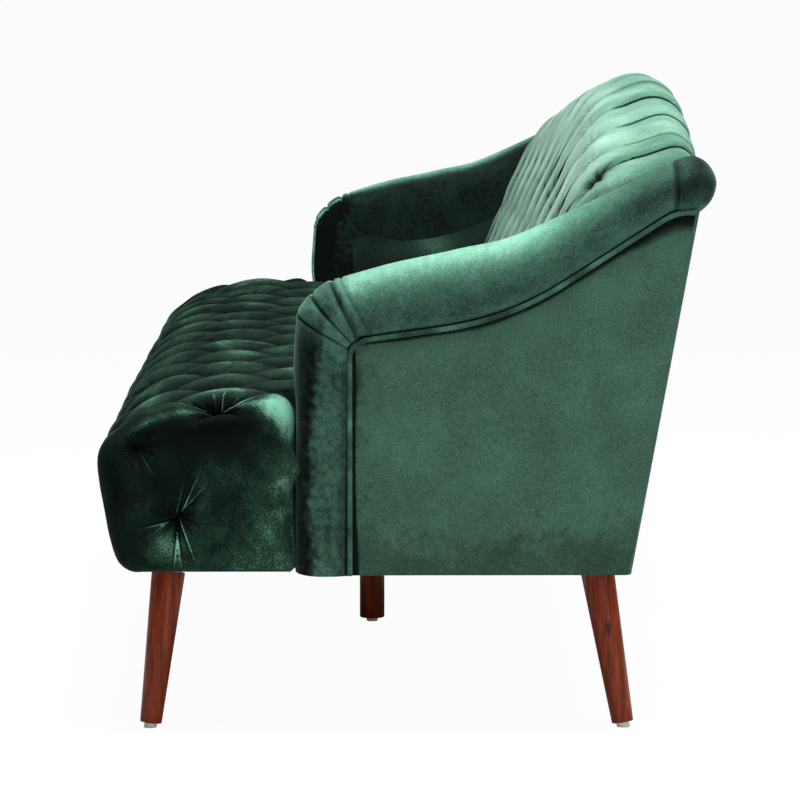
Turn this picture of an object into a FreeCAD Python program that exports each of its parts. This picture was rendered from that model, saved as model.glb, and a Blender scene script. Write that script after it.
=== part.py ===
import FreeCAD, Part
import math
import os

vec = FreeCAD.Vector

# Tufted sofa, millimetres: X runs along its length, it faces -Y, and Z is up from the floor.
# Its left side is the sitter's left, at +X. The right side mirrors it.

# Whole body
overall_length = 1830.0
overall_depth = 817.0
body_underside = 219.0
seat_height = 460.0
soft_gap = 0.4
skin = 4.0

# Seat pad, with its nose rolled over the front
nose_radius = 130.0
hem_radius = 48.0
seat_pad_thickness = 42.0
seat_end_round = 20.0
seat_end_crown = 5.0
seat_end_setback = 10.0
seat_lip = 12.0
tongue_wall = 30.0

# Diamond tufting
tuft_pitch = 150.0
row_spacing = 100.0
tuft_depth = 26.0
puff_bow = 7.0
first_row_setback = 25.5
rows_ahead = 3
rear_row_clear = 20.0
end_tuft_radius = 46.0
end_tuft_tip = 5.0
end_tuft_depth = 24.0
end_tuft_drop = 148.0
end_tuft_forward = 44.0
corner_tuft_drop = 72.0
corner_tuft_forward = 100.0

# Back pad with its humped crest
camel_rise = 82.0
back_foot_setback = 290.5
back_foot_height = 430.0
back_lean = 22.3
back_pad_thickness = 42.0
back_row_heights = (540.0, 638.0, 738.0)
back_row_lifts = (0.15, 0.40, 0.70)
shoulder_setback = 14.0
back_tuft_depth = 26.0
crest_pleat_depth = 9.0
crest_setback = 42.0
crest_rear_setback = 4.0
crest_roll_drop = 34.0
roll_height = 72.0
seam_gap = 0.6

# Outside back
rear_foot_setback = 109.0
rear_rake = 10.2

# Arms
arm_width = 115.0
arm_front_setback = 264.5
arm_bend_setback = 272.5
arm_bend_height = 654.0
arm_rear_setback = 56.5
arm_rear_height = 766.0
roll_rear_height = 757.0
arm_front_depth = 72.0
welt_front_height = 528.0
welt_bend_height = 557.0
welt_rear_height = 697.0
welt_corner_radius = 22.0
welt_bend_radius = 400.0
welt_rear_radius = 60.0
pleat_reach = 106.0
pleat_angles = (30.0, 47.0, 64.0)
roll_swell = 5.0
roll_root = 10.0
inside_pad_thickness = 15.0
panel_recess = 6.6
welt_diameter = 6.4
front_welt_diameter = 5.0
front_welt_bottom = 462.0
front_welt_bend = 12.0
front_welt_lift = 1.3
front_bow = 1.0
inner_edge_drop = 6.0
cap_seam_setback = 53.5
cap_end_round = 14.0

# Frame timber
rail_thickness = 28.0
rail_height = 91.0
rail_clear = 1.0
foam_lip = 14.0
side_rail_inset = 64.0
rear_rail_inset = 35.5
centre_rail_width = 64.0
centre_rail_height = 46.0
block_side = 90.0
block_height = 46.0
post_thickness = 35.0
post_depth = 45.0
arm_rail_depth = 45.0
back_post_depth = 40.0
back_rail_thickness = 30.0
lower_rail_bottom = 470.0
lower_rail_height = 60.0
top_rail_bottom = 640.0
top_rail_drop = 60.0
upright_width = 45.0
upright_places = (-400.0, 0.0, 400.0)
frame_bolt_diameter = 8.0
frame_bolt_height = 265.0
frame_bolt_head = 18.0
frame_bolt_head_height = 4.0
frame_nut_thickness = 6.5
frame_nut_across = 13.0
lag_length = 50.0
hole_clear = 0.2

# Suspension
spring_wire = 4.0
spring_count = 8
spring_spacing = 190.0
spring_half_width = 24.0
spring_pitch = 24.0
clip_width = 16.0
clip_depth = 16.0
clip_slack = 0.6
felt_thickness = 4.0
webbing_width = 50.0
webbing_thickness = 2.0
webbing_heights = (360.0, 430.0, 560.0, 620.0)
twine_diameter = 2.4

# Underside
cambric_thickness = 1.0
cambric_inset = 3.0

# Legs
leg_inset = 115.0
leg_splay_x = 22.0
front_leg_inset = 2.5
front_leg_splay = -24.0
rear_leg_inset = 4.0
rear_leg_splay = 34.0
leg_top_height = 208.0
leg_foot_height = 6.0
leg_top_diameter = 45.0
leg_foot_diameter = 29.0
glide_diameter = 17.0
centre_leg_y = -42.0
centre_leg_diameter = 38.0
plate_side = 70.0
plate_thickness = 3.0
boss_diameter = 30.0
leg_bolt_diameter = 8.0
leg_bolt_in_leg = 45.0
leg_bolt_in_block = 26.0
screw_diameter = 4.5
screw_head_diameter = 9.0
screw_head_height = 2.2
screw_length = 28.0
screw_inset = 9.0

# Rise of a quarter circle over its chord
quarter_bow = 0.207

# Places that follow from the sizes above
half_length = overall_length / 2
seat_front = puff_bow - overall_depth / 2
body_rear = overall_depth / 2
seat_half = half_length - seat_end_setback
back_foot_y = body_rear - back_foot_setback
rear_foot_y = body_rear - rear_foot_setback
arm_front_y = arm_front_setback - overall_depth / 2
welt_front_y = arm_front_y + arm_front_depth
arm_bend_y = body_rear - arm_bend_setback
arm_rear_y = body_rear - arm_rear_setback
cap_seam_y = body_rear - cap_seam_setback
half_pitch = tuft_pitch / 2
nose_centre_y = seat_front + nose_radius
nose_centre_z = seat_height - nose_radius
arm_inner = half_length - arm_width
between_arms = arm_inner - inside_pad_thickness * 0.2
panel_outer = half_length - panel_recess
panel_inner = panel_outer - skin
side_rail_outer = half_length - side_rail_inset
rear_rail_y = rear_foot_y - rear_rail_inset
rail_bottom = body_underside + rail_clear
rail_top = rail_bottom + rail_height
front_rail_y = seat_front + seat_pad_thickness + foam_lip
front_rail_rear = front_rail_y + rail_thickness
side_rail_inner = side_rail_outer - rail_thickness
post_outer = side_rail_outer + post_thickness
spring_level = rail_top + spring_wire / 2 + 1.0
felt_bottom = spring_level + spring_wire / 2
foam_bottom = felt_bottom + felt_thickness
seat_rear = back_foot_y - soft_gap
rows_behind = int((seat_rear - rear_row_clear - first_row_setback - nose_centre_y) // row_spacing)
tongue_rear = arm_front_y - 2 * soft_gap
cambric_bottom = rail_bottom - cambric_thickness
plate_bottom = cambric_bottom - plate_thickness
leg_top_x = half_length - leg_inset
front_leg_y = front_rail_rear + front_leg_inset
rear_leg_y = rear_rail_y - rear_leg_inset


def move_along(point, direction, distance):
    return (point[0] + direction[0] * distance, point[1] + direction[1] * distance)


def line(start, end):
    return Part.LineSegment(start, end).toShape()


def bowed(start, end, rise, inside):
    """A line, or an arc that bows by rise away from the inside point."""
    if abs(rise) < 0.01:
        return line(start, end)
    middle = (start + end) * 0.5
    along = (end - start).normalize()
    away = middle - inside
    away = (away - along * away.dot(along)).normalize()
    return Part.Arc(start, middle + away * rise, end).toShape()


def ring(corners, rises, inside):
    ends = corners[1:] + corners[:1]
    return Part.Wire([bowed(a, b, r, inside) for a, b, r in zip(corners, ends, rises)])


def profile_ring(x, points, rises, inside):
    return ring([vec(x, y, z) for y, z in points], rises, vec(x, inside[0], inside[1]))


def rounded_edges(corners, radii):
    """Straight runs between the corners, joined by tangent arcs."""
    edges = []
    start = corners[0]
    for before, corner, after, radius in zip(corners, corners[1:], corners[2:], radii):
        back = (before - corner).normalize()
        ahead = (after - corner).normalize()
        half = back.getAngle(ahead) / 2
        trim = radius / math.tan(half)
        tip = corner + (back + ahead).normalize() * (radius / math.sin(half) - radius)
        edges.append(line(start, corner + back * trim))
        edges.append(Part.Arc(corner + back * trim, tip, corner + ahead * trim).toShape())
        start = corner + ahead * trim
    edges.append(line(start, corners[-1]))
    return edges


def inset_path(points, inset):
    """The open path moved to its right by inset, as its new corners."""
    runs = []
    for (ay, az), (by, bz) in zip(points, points[1:]):
        size = math.hypot(by - ay, bz - az)
        along = ((by - ay) / size, (bz - az) / size)
        runs.append(((ay + along[1] * inset, az - along[0] * inset), along))
    moved = [runs[0][0]]
    for (p, u), (q, w) in zip(runs, runs[1:]):
        cross = u[0] * w[1] - u[1] * w[0]
        reach = ((q[0] - p[0]) * w[1] - (q[1] - p[1]) * w[0]) / cross
        moved.append(move_along(p, u, reach))
    along = runs[-1][1]
    moved.append(move_along(points[-1], (along[1], -along[0]), inset))
    return moved


def box(x0, x1, y0, y1, z0, z1):
    return Part.makeBox(x1 - x0, y1 - y0, z1 - z0, vec(x0, y0, z0))


def prism(points, x0, x1):
    """A straight-sided outline in the YZ plane, drawn out from x0 to x1."""
    corners = [vec(x0, y, z) for y, z in points]
    face = Part.Face(Part.makePolygon(corners + corners[:1]))
    return face.extrude(vec(x1 - x0, 0, 0))


def mirrored(shape):
    return shape.mirror(vec(0, 0, 0), vec(1, 0, 0))


def rear_y(height):
    return rear_foot_y + (height - body_underside) * math.tan(math.radians(rear_rake))


def raked(x0, x1, z0, z1, near, far):
    """A board parallel to the raked outside back, from near to far in front of it."""
    points = [(rear_y(z0) - near, z0), (rear_y(z1) - near, z1)]
    points += [(rear_y(z1) - far, z1), (rear_y(z0) - far, z0)]
    return prism(points, x0, x1)


def crest_height(x):
    hump = 0.5 * (1 + math.cos(math.pi * x / half_length))
    return arm_rear_height + camel_rise * hump


def lattice(limit):
    """Each half pitch along X within the limit, with its number."""
    count = int(limit // half_pitch)
    return [(k, k * half_pitch) for k in range(-count, count + 1)]


def tuft_sink(row, x):
    """Share of a tuft's depth at x: one at its stitch, and none on the crown between two."""
    place = (x / half_pitch + row) % 2
    return 1 - math.sin(math.pi / 2 * min(place, 2 - place))


def tufted_run(ring_at, limit):
    """A run of puffs from -limit to the limit, through a ring at each stitch, crown and flank."""
    step = half_pitch / 2
    count = math.ceil(limit / step) - 1
    stations = [k * step for k in range(-count, count + 1)]
    return Part.makeLoft([ring_at(x) for x in [-limit] + stations + [limit]], True, True)


def seat_outline(reach):
    """A point of the crowned seat and its outward direction, reach forward of the nose's rear."""
    turn = reach / nose_radius
    if turn <= 0:
        return (nose_centre_y - reach, seat_height), (0.0, 1.0)
    if turn <= math.pi / 2:
        out = (-math.sin(turn), math.cos(turn))
        return move_along((nose_centre_y, nose_centre_z), out, nose_radius), out
    drop = reach - nose_radius * math.pi / 2
    return (seat_front, nose_centre_z - drop), (-1.0, 0.0)


def seat_ring(x, sink, draw):
    """The seat's outline at x, with its tufts sunk by a share of their depth."""
    points = [(seat_front + hem_radius + draw, body_underside)]
    rises = [quarter_bow * math.sqrt(2) * hem_radius]
    for row in range(rows_ahead, -rows_behind - 1, -1):
        point, out = seat_outline(row * row_spacing - first_row_setback)
        points.append(move_along(point, out, -tuft_depth * sink(row, x) - draw))
        curve = row_spacing ** 2 / (8 * nose_radius) if 0 < row < rows_ahead else 0.0
        rises.append(puff_bow + curve)
    points += [(seat_rear, seat_height - draw - puff_bow), (seat_rear, body_underside)]
    rises += [0.0, 0.0]
    return profile_ring(x, points, rises, (nose_centre_y + nose_radius, nose_centre_z))


def tufted_seat_ring(x):
    return seat_ring(x, tuft_sink, 0.0)


def last_seat_column():
    """The place of the last tufted column that clears the rounded end."""
    return lattice(seat_half - seat_end_round - half_pitch / 2)[-1][1]


def seat_end():
    """The plump end of the tongue, outside the last column, with its drawn-in edge."""
    rings = [tufted_seat_ring(last_seat_column())]
    for step, draw in ((seat_end_round, 0.0), (seat_end_crown, seat_end_crown), (0.0, seat_end_round)):
        rings.append(seat_ring(seat_half - step, lambda row, x: 0.0, draw))
    return Part.makeLoft(rings, True, True)


def seat_core(gap):
    """The foam's room inside the seat pad."""
    inset = seat_pad_thickness + gap
    front = seat_front + inset
    top = seat_height - inset
    bottom = body_underside + seat_lip + gap
    radius = nose_radius - inset
    turn = math.sqrt(0.5) * radius
    sides = (
        (between_arms - gap, seat_rear + 1.0 - 2 * gap),
        (seat_half - seat_pad_thickness - gap, tongue_rear - tongue_wall - gap),
    )
    parts = []
    for half, rear in sides:
        corners = [vec(-half, front, bottom), vec(-half, front, nose_centre_z)]
        corners += [vec(-half, nose_centre_y, top), vec(-half, rear, top)]
        corners += [vec(-half, rear, bottom)]
        nose_tip = vec(-half, nose_centre_y - turn, nose_centre_z + turn)
        edges = [line(corners[0], corners[1])]
        edges.append(Part.Arc(corners[1], nose_tip, corners[2]).toShape())
        edges += [line(a, b) for a, b in zip(corners[2:], corners[3:] + corners[:1])]
        parts.append(Part.Face(Part.Wire(edges)).extrude(vec(2 * half, 0, 0)))
    return parts[0].fuse(parts[1])


def under_seat():
    return box(-side_rail_outer, side_rail_outer, front_rail_y, rear_rail_y, 0, foam_bottom)


def arm_notches():
    room = box(between_arms, overall_length, tongue_rear, overall_depth, 0, overall_length)
    return [room, mirrored(room)]


def end_tufts():
    """Cones drawn into the end faces of the seat's tongue."""
    (first_y, first_z), out = seat_outline(-first_row_setback)
    places = [(first_y - end_tuft_forward, first_z - end_tuft_drop)]
    places.append((first_y - corner_tuft_forward, first_z - corner_tuft_drop))
    cones = []
    for y, z in places:
        cone = Part.makeCone(
            end_tuft_radius, end_tuft_tip, end_tuft_depth, vec(seat_half, y, z), vec(-1, 0, 0)
        )
        cones += [cone, mirrored(cone)]
    return cones


def make_seat_pad():
    middle = tufted_run(tufted_seat_ring, last_seat_column())
    end = seat_end()
    pad = middle.fuse([end, mirrored(end)])
    cuts = [seat_core(0.0), under_seat()] + arm_notches() + end_tufts()
    return pad.cut(cuts)


def seat_twine(radius):
    """Tufting twine from the felt up to the pad, below each tuft of the flat seat."""
    top = seat_height - seat_pad_thickness
    cords = []
    for column, x in lattice(between_arms - half_pitch / 2):
        for row in range(0, -rows_behind - 1, -1):
            if (row + column) % 2 == 0:
                (y, z), out = seat_outline(row * row_spacing - first_row_setback)
                cords.append(Part.makeCylinder(radius, top - foam_bottom, vec(x, y, foam_bottom)))
    return cords


def make_seat_twine():
    return Part.makeCompound(seat_twine(twine_diameter / 2))


def make_seat_foam():
    return seat_core(soft_gap).cut([under_seat()] + seat_twine(twine_diameter / 2 + hole_clear))


def back_front(height):
    lean = math.tan(math.radians(back_lean))
    return back_foot_y + (height - back_foot_height) * lean


def foam_top():
    return welt_rear_height - 2 * crest_pleat_depth


def foam_front(height):
    return back_front(height) + back_pad_thickness / math.cos(math.radians(back_lean))


def back_frame_front(height):
    return rear_y(height) - skin - rail_clear - back_rail_thickness


def back_ring(x):
    crest = crest_height(x)
    lift = crest - arm_rear_height
    lean = math.radians(back_lean)
    out = (-math.cos(lean), math.sin(lean))
    points = [(back_foot_y, back_foot_height)]
    for row, (height, share) in enumerate(zip(back_row_heights, back_row_lifts)):
        z = height + share * lift
        y = back_front(z) + (shoulder_setback if row == len(back_row_heights) - 1 else 0.0)
        points.append(move_along((y, z), out, -back_tuft_depth * tuft_sink(row, x)))
    pleat = crest_pleat_depth * tuft_sink(0, x)
    points.append((body_rear - crest_setback, crest - pleat))
    points.append((body_rear - crest_rear_setback - 0.6 * pleat, crest - crest_roll_drop))
    hem = crest - roll_height
    points.append((rear_y(hem), hem))
    rail_top_z = crest - top_rail_drop
    near = skin + rail_clear
    points.append((rear_y(hem) - near + soft_gap, hem))
    points.append((rear_y(rail_top_z) - near + soft_gap, rail_top_z + soft_gap))
    points.append((back_frame_front(rail_top_z) - soft_gap, rail_top_z + soft_gap))
    points.append((back_frame_front(foam_top()) - soft_gap, foam_top() + soft_gap))
    points.append((foam_front(foam_top()), foam_top() + soft_gap))
    points.append((foam_front(back_foot_height), back_foot_height))
    rises = [puff_bow, puff_bow, puff_bow, 2 * puff_bow, 1.6 * puff_bow, puff_bow]
    rises += [0.0] * (len(points) - len(rises))
    inside = (back_frame_front(foam_top()), 0.5 * (back_row_heights[0] + foam_top()))
    return profile_ring(x, points, rises, inside)


def make_back_pad():
    return tufted_run(back_ring, between_arms)


def make_back_foam():
    points = [(foam_front(foam_bottom) + soft_gap, foam_bottom + soft_gap)]
    points.append((foam_front(foam_top()) + soft_gap, foam_top()))
    points.append((back_frame_front(foam_top()) - webbing_thickness, foam_top()))
    points.append((back_frame_front(foam_bottom) - webbing_thickness, foam_bottom + soft_gap))
    half = between_arms - soft_gap
    return prism(points, -half, half).cut(back_twine(twine_diameter / 2 + hole_clear))


def back_twine(radius):
    """Tufting twine through the back foam, behind each tuft below the top row."""
    lean = math.radians(back_lean)
    inward = vec(0, math.cos(lean), -math.sin(lean))
    rake = math.tan(math.radians(rear_rake))
    cords = []
    for column, x in lattice(between_arms - half_pitch / 2):
        lift = crest_height(x) - arm_rear_height
        for row, (height, share) in enumerate(zip(back_row_heights[:-1], back_row_lifts)):
            if (row + column) % 2 == 0:
                z = height + share * lift
                start = vec(x, back_front(z), z) + inward * (back_pad_thickness + soft_gap)
                far = back_frame_front(start.z) - webbing_thickness - start.y
                reach = far / (inward.y - rake * inward.z) - twine_diameter / 2
                cords.append(Part.makeCylinder(radius, reach, start, inward))
    return cords


def make_back_twine():
    return Part.makeCompound(back_twine(twine_diameter / 2))


def camel_board(bottom, drop, near, far, half):
    """A raked board whose top edge follows the crest."""
    rings = []
    stations = [x for k, x in lattice(half - half_pitch * 0.3)]
    for x in [-half] + stations + [half]:
        top = crest_height(x) - drop
        points = [(rear_y(bottom) - near, bottom), (rear_y(top) - near, top)]
        points += [(rear_y(top) - far, top), (rear_y(bottom) - far, bottom)]
        rings.append(profile_ring(x, points, [0.0] * 4, points[0]))
    return Part.makeLoft(rings, True, False)


def make_back_top_rail():
    near = skin + rail_clear
    far = near + back_rail_thickness
    rail = camel_board(top_rail_bottom, top_rail_drop, near, far, side_rail_outer)
    ends = box(between_arms, overall_length, 0, overall_depth, foam_top(), overall_length)
    return rail.cut([ends, mirrored(ends)])


def make_back_outside_panel():
    drop = roll_height + seam_gap
    return camel_board(body_underside, drop, 0.0, skin, panel_inner)


def make_back_lower_rail():
    near = skin + rail_clear
    top = lower_rail_bottom + lower_rail_height
    half = side_rail_outer
    return raked(-half, half, lower_rail_bottom, top, near, near + back_rail_thickness)


def make_back_uprights():
    near = skin + rail_clear
    spans = ((rail_top, lower_rail_bottom), (lower_rail_bottom + lower_rail_height, top_rail_bottom))
    boards = []
    for x in upright_places:
        for low, high in spans:
            side = upright_width / 2
            boards.append(raked(x - side, x + side, low, high, near, near + back_rail_thickness))
    return Part.makeCompound(boards)


def make_back_webbing():
    near = skin + rail_clear + back_rail_thickness
    strips = []
    for z in webbing_heights:
        half = between_arms - soft_gap
        strips.append(raked(-half, half, z, z + webbing_width, near, near + webbing_thickness))
    return Part.makeCompound(strips)


def make_back_post():
    near = skin + rail_clear
    far = near + back_post_depth
    post = raked(side_rail_outer, post_outer, rail_bottom, foam_top(), near, far)
    return post.cut(frame_bolt_holes())


def welt_corners():
    rise = (welt_rear_height - welt_bend_height) / (arm_rear_y - arm_bend_y)
    knee = arm_bend_y + (welt_rear_height - welt_bend_height) / rise
    return [
        (welt_front_y, body_underside),
        (welt_front_y, welt_front_height),
        (arm_bend_y, welt_bend_height),
        (knee, welt_rear_height),
        (rear_y(welt_rear_height), welt_rear_height),
    ]


def welt_edges(x, inset):
    corners = [vec(x, y, z) for y, z in inset_path(welt_corners(), inset)]
    radii = (welt_corner_radius - inset, welt_bend_radius + inset, welt_rear_radius - inset)
    return rounded_edges(corners, radii)


def arm_core(x0, x1, inset):
    """The arm inside its welt line, drawn out from x0 to x1."""
    edges = welt_edges(x0, inset)
    first = edges[0].Vertexes[0].Point
    last = edges[-1].Vertexes[-1].Point
    foot = vec(x0, rear_y(body_underside) - inset, body_underside)
    edges += [line(last, foot), line(foot, first)]
    return Part.Face(Part.Wire(edges)).extrude(vec(x1 - x0, 0, 0))


def welt_height(y):
    corners = welt_corners()
    for (ay, az), (by, bz) in zip(corners[1:], corners[2:]):
        if y <= by:
            return az + (bz - az) * (y - ay) / (by - ay)
    return welt_rear_height


def crown_height(y):
    (_, _), (start_y, start_z) = pleat_ends(pleat_angles[-1])
    knots = [(start_y, start_z), (arm_bend_y, arm_bend_height), (arm_rear_y, roll_rear_height)]
    for (ay, az), (by, bz) in zip(knots, knots[1:]):
        if y <= by:
            return az + (bz - az) * (y - ay) / (by - ay)
    return roll_rear_height


def pleat_ends(angle):
    """Root and tip of a pleat that fans out over the arm's front corner."""
    turn = math.radians(angle)
    out = (-math.cos(turn), math.sin(turn))
    centre = (welt_front_y + welt_corner_radius, welt_front_height - welt_corner_radius)
    root = move_along(centre, out, welt_corner_radius)
    reach = min(pleat_reach, (centre[0] - arm_front_y) / math.cos(turn))
    return root, move_along(centre, out, reach)


def roll_ring(root, tip, square):
    """Section of the arm's padded roll, from its root on the welt line to its tip."""
    height = math.hypot(tip[0] - root[0], tip[1] - root[1])
    out = ((tip[0] - root[0]) / height, (tip[1] - root[1]) / height)
    shoulder = height - inner_edge_drop if square else 0.45 * height
    crown_x = half_length - arm_width / 2
    flat = [(half_length - roll_swell, -roll_root), (half_length, 0.3 * height), (crown_x, height)]
    flat += [(arm_inner, shoulder), (arm_inner, -roll_root)]
    corners = []
    for x, t in flat:
        y, z = move_along(root, out, t)
        corners.append(vec(x, y, z))
    round_over = quarter_bow * math.hypot(arm_width / 2, 0.6 * height)
    rises = [0.2 * roll_swell, round_over, front_bow if square else round_over, 0.0, 0.0]
    middle = move_along(root, out, 0.3 * height)
    return ring(corners, rises, vec(crown_x, middle[0], middle[1]))


def make_arm_roll():
    front = roll_ring((welt_front_y, body_underside), (arm_front_y, body_underside), True)
    pleats = [roll_ring(*pleat_ends(angle), True) for angle in pleat_angles]
    corner = Part.makeLoft([front] + pleats, True, True)
    rings = [pleats[-1]]
    start_y = pleat_ends(pleat_angles[-1])[0][0]
    stations = [start_y + (arm_bend_y - start_y) * k / 3 for k in (1, 2, 3)]
    stations += [arm_bend_y + (arm_rear_y - arm_bend_y) * k / 3 for k in (1, 2)]
    for y in stations + [cap_seam_y]:
        rings.append(roll_ring((y, welt_height(y)), (y, crown_height(y)), False))
    top = Part.makeLoft(rings, True, False)
    roll = corner.fuse(top)
    core = arm_core(0, overall_length, 0.0)
    rail_side = side_rail_outer + soft_gap
    rail_room = box(0, rail_side, -overall_depth, overall_depth, 0, rail_top + soft_gap)
    behind = box(0, overall_length, cap_seam_y - soft_gap, overall_depth, 0, overall_length)
    return roll.cut([core, rail_room, behind])


def make_arm_inside_pad():
    pad = arm_core(arm_inner, arm_inner + inside_pad_thickness, soft_gap)
    near = skin + 2 * rail_clear + back_rail_thickness
    frame = raked(0, overall_length, 0, overall_length, -overall_depth, near)
    below = box(0, overall_length, -overall_depth, overall_depth, 0, rail_top + soft_gap)
    return pad.cut([frame, below])


def make_arm_outside_panel():
    return arm_core(panel_inner, panel_outer, soft_gap)


def make_arm_post():
    top = welt_front_height - arm_rail_depth
    y0 = welt_front_y + soft_gap
    post = box(side_rail_outer, post_outer, y0, y0 + post_depth, rail_bottom, top)
    return post.cut(frame_bolt_holes())


def make_arm_top_rail():
    band = arm_core(side_rail_outer, post_outer, soft_gap)
    below = arm_core(0, overall_length, soft_gap)
    below.translate(vec(0, 0, -arm_rail_depth))
    post_top = welt_front_height - arm_rail_depth
    near = skin + rail_clear + back_post_depth
    behind = raked(0, overall_length, 0, overall_length, -overall_depth, near)
    low = box(0, overall_length, -overall_depth, overall_depth, 0, post_top)
    return band.cut([below, behind, low])


def make_arm_welt():
    radius = welt_diameter / 2
    x = panel_outer + radius + 0.1
    path = Part.Wire(welt_edges(x, radius + soft_gap))
    start = path.OrderedVertexes[0].Point
    section = Part.Wire(Part.makeCircle(radius, start, vec(0, 0, 1)))
    return path.makePipeShell([section], True, False)


def make_arm_front_welt():
    """Cord along the inner edge of the arm's front, up to its last pleat."""
    radius = front_welt_diameter / 2
    x = arm_inner + radius + 0.5
    inner = []
    for angle in pleat_angles:
        root, tip = pleat_ends(angle)
        height = math.hypot(tip[0] - root[0], tip[1] - root[1])
        out = ((tip[0] - root[0]) / height, (tip[1] - root[1]) / height)
        inner.append(move_along(root, out, height - inner_edge_drop + radius + front_welt_lift))
    bottom = (arm_front_y + inner_edge_drop - radius - front_welt_lift, front_welt_bottom)
    corners = [vec(x, y, z) for y, z in [bottom] + inner]
    path = Part.Wire(rounded_edges(corners, [front_welt_bend] * 2))
    start = path.OrderedVertexes[0].Point
    section = Part.Wire(Part.makeCircle(radius, start, corners[1] - corners[0]))
    return path.makePipeShell([section], True, False)


def make_back_end_cap():
    """Rounded end of the back's top roll, behind the arm."""
    base = welt_rear_height + soft_gap
    top = arm_rear_height
    rings = []
    stations = ((between_arms + 1, 0.0), (half_length - cap_end_round * 1.5, 0.0))
    stations += ((half_length - cap_end_round * 0.4, cap_end_round * 0.35), (half_length, cap_end_round))
    for x, draw in stations:
        points = [(cap_seam_y, base), (cap_seam_y, roll_rear_height + soft_gap - draw)]
        points.append((body_rear - 0.8 * crest_setback, top - draw))
        points.append((body_rear - draw, top - crest_roll_drop))
        points.append((rear_y(base) - draw * 0.3, base))
        rings.append(profile_ring(x, points, [0.0, 1.5, 9.0, 6.0, 0.0], (body_rear - crest_setback, base)))
    return Part.makeLoft(rings, True, True)


def make_seat_front_rail():
    half = side_rail_outer
    rail = box(-half, half, front_rail_y, front_rail_rear, rail_bottom, rail_top)
    return rail.cut(leg_holes())


def make_seat_rear_rail():
    half = side_rail_outer
    rail = box(-half, half, rear_rail_y, rear_rail_y + rail_thickness, rail_bottom, rail_top)
    return rail.cut(frame_bolt_holes() + leg_holes())


def make_seat_side_rail():
    rail = box(side_rail_inner, side_rail_outer, front_rail_rear, rear_rail_y, rail_bottom, rail_top)
    return rail.cut(frame_bolt_holes() + leg_holes())


def make_seat_centre_rail():
    half = centre_rail_width / 2
    top = rail_bottom + centre_rail_height
    rail = box(-half, half, front_rail_rear, rear_rail_y, rail_bottom, top)
    return rail.cut(leg_holes())


def make_corner_blocks():
    blocks = []
    for y0 in (front_rail_rear, rear_rail_y - block_side):
        x0 = side_rail_inner - block_side
        block = box(x0, side_rail_inner, y0, y0 + block_side, rail_bottom, rail_bottom + block_height)
        block = block.cut(leg_holes())
        blocks += [block, mirrored(block)]
    return Part.makeCompound(blocks)


def frame_bolt_lines():
    """Start, end and nut of each bolt that holds an arm or back post to the seat frame."""
    front_y = welt_front_y + soft_gap + post_depth / 2
    rear = rear_rail_y + rail_thickness / 2
    nut_x = side_rail_inner - frame_nut_thickness
    return ((front_y, nut_x, True), (rear, side_rail_outer - lag_length, False))


def frame_bolt_holes():
    holes = []
    for y, x0, nut in frame_bolt_lines():
        start = vec(x0, y, frame_bolt_height)
        radius = frame_bolt_diameter / 2 + hole_clear
        hole = Part.makeCylinder(radius, post_outer + 1 - x0, start, vec(1, 0, 0))
        holes += [hole, mirrored(hole)]
    return holes


def make_frame_bolts():
    bolts = []
    for y, x0, nut in frame_bolt_lines():
        start = vec(x0, y, frame_bolt_height)
        bolt = Part.makeCylinder(frame_bolt_diameter / 2, post_outer - x0, start, vec(1, 0, 0))
        head_at = vec(post_outer, y, frame_bolt_height)
        head = Part.makeCylinder(frame_bolt_head / 2, frame_bolt_head_height, head_at, vec(1, 0, 0))
        bolt = bolt.fuse(head)
        if nut:
            bolt = bolt.fuse(hex_nut(start))
        bolts += [bolt, mirrored(bolt)]
    return Part.makeCompound(bolts)


def hex_nut(start):
    reach = frame_nut_across / math.sqrt(3)
    corners = []
    for k in range(7):
        turn = math.radians(60 * k)
        corners.append(start + vec(0, reach * math.cos(turn), reach * math.sin(turn)))
    face = Part.Face(Part.makePolygon(corners))
    return face.extrude(vec(frame_nut_thickness, 0, 0))


def spring_places():
    first = -(spring_count - 1) / 2 * spring_spacing
    return [first + k * spring_spacing for k in range(spring_count)]


def sinuous_spring(x):
    """A flat zigzag wire from the front rail to the rear rail."""
    start_y = front_rail_y + rail_thickness / 2
    end_y = rear_rail_y + rail_thickness / 2
    loops = int((end_y - start_y) // spring_pitch)
    step = (end_y - start_y) / loops
    bend = step / 2
    run = spring_half_width - bend
    edges = []
    for k in range(loops + 1):
        side = 1 if k % 2 == 0 else -1
        y = start_y + k * step
        left = vec(x - side * run, y, spring_level)
        right = vec(x + side * run, y, spring_level)
        edges.append(line(left, right))
        if k < loops:
            tip = vec(x + side * (run + bend), y + bend, spring_level)
            edges.append(Part.Arc(right, tip, right + vec(0, step, 0)).toShape())
    path = Part.Wire(edges)
    section = Part.Wire(Part.makeCircle(spring_wire / 2, vec(x - run, start_y, spring_level), vec(1, 0, 0)))
    return path.makePipeShell([section], True, False)


def make_seat_springs():
    return Part.makeCompound([sinuous_spring(x) for x in spring_places()])


def make_spring_clips():
    """Steel clips nailed to the rails, each with a groove for the end bar of a spring."""
    side = clip_width / 2
    room = (spring_wire + clip_slack) / 2
    clips = []
    for x in spring_places():
        for y in (front_rail_y + rail_thickness / 2, rear_rail_y + rail_thickness / 2):
            near, far = y - clip_depth / 2, y + clip_depth / 2
            clip = box(x - side, x + side, near, far, rail_top, felt_bottom)
            groove = box(x - 2 * side, x + 2 * side, y - room, y + room, spring_level - room, foam_bottom)
            clips.append(clip.cut(groove))
    return Part.makeCompound(clips)


def make_seat_felt():
    half = between_arms - soft_gap
    return box(-half, half, front_rail_y + 1, rear_rail_y - 1, felt_bottom, foam_bottom)


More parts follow.
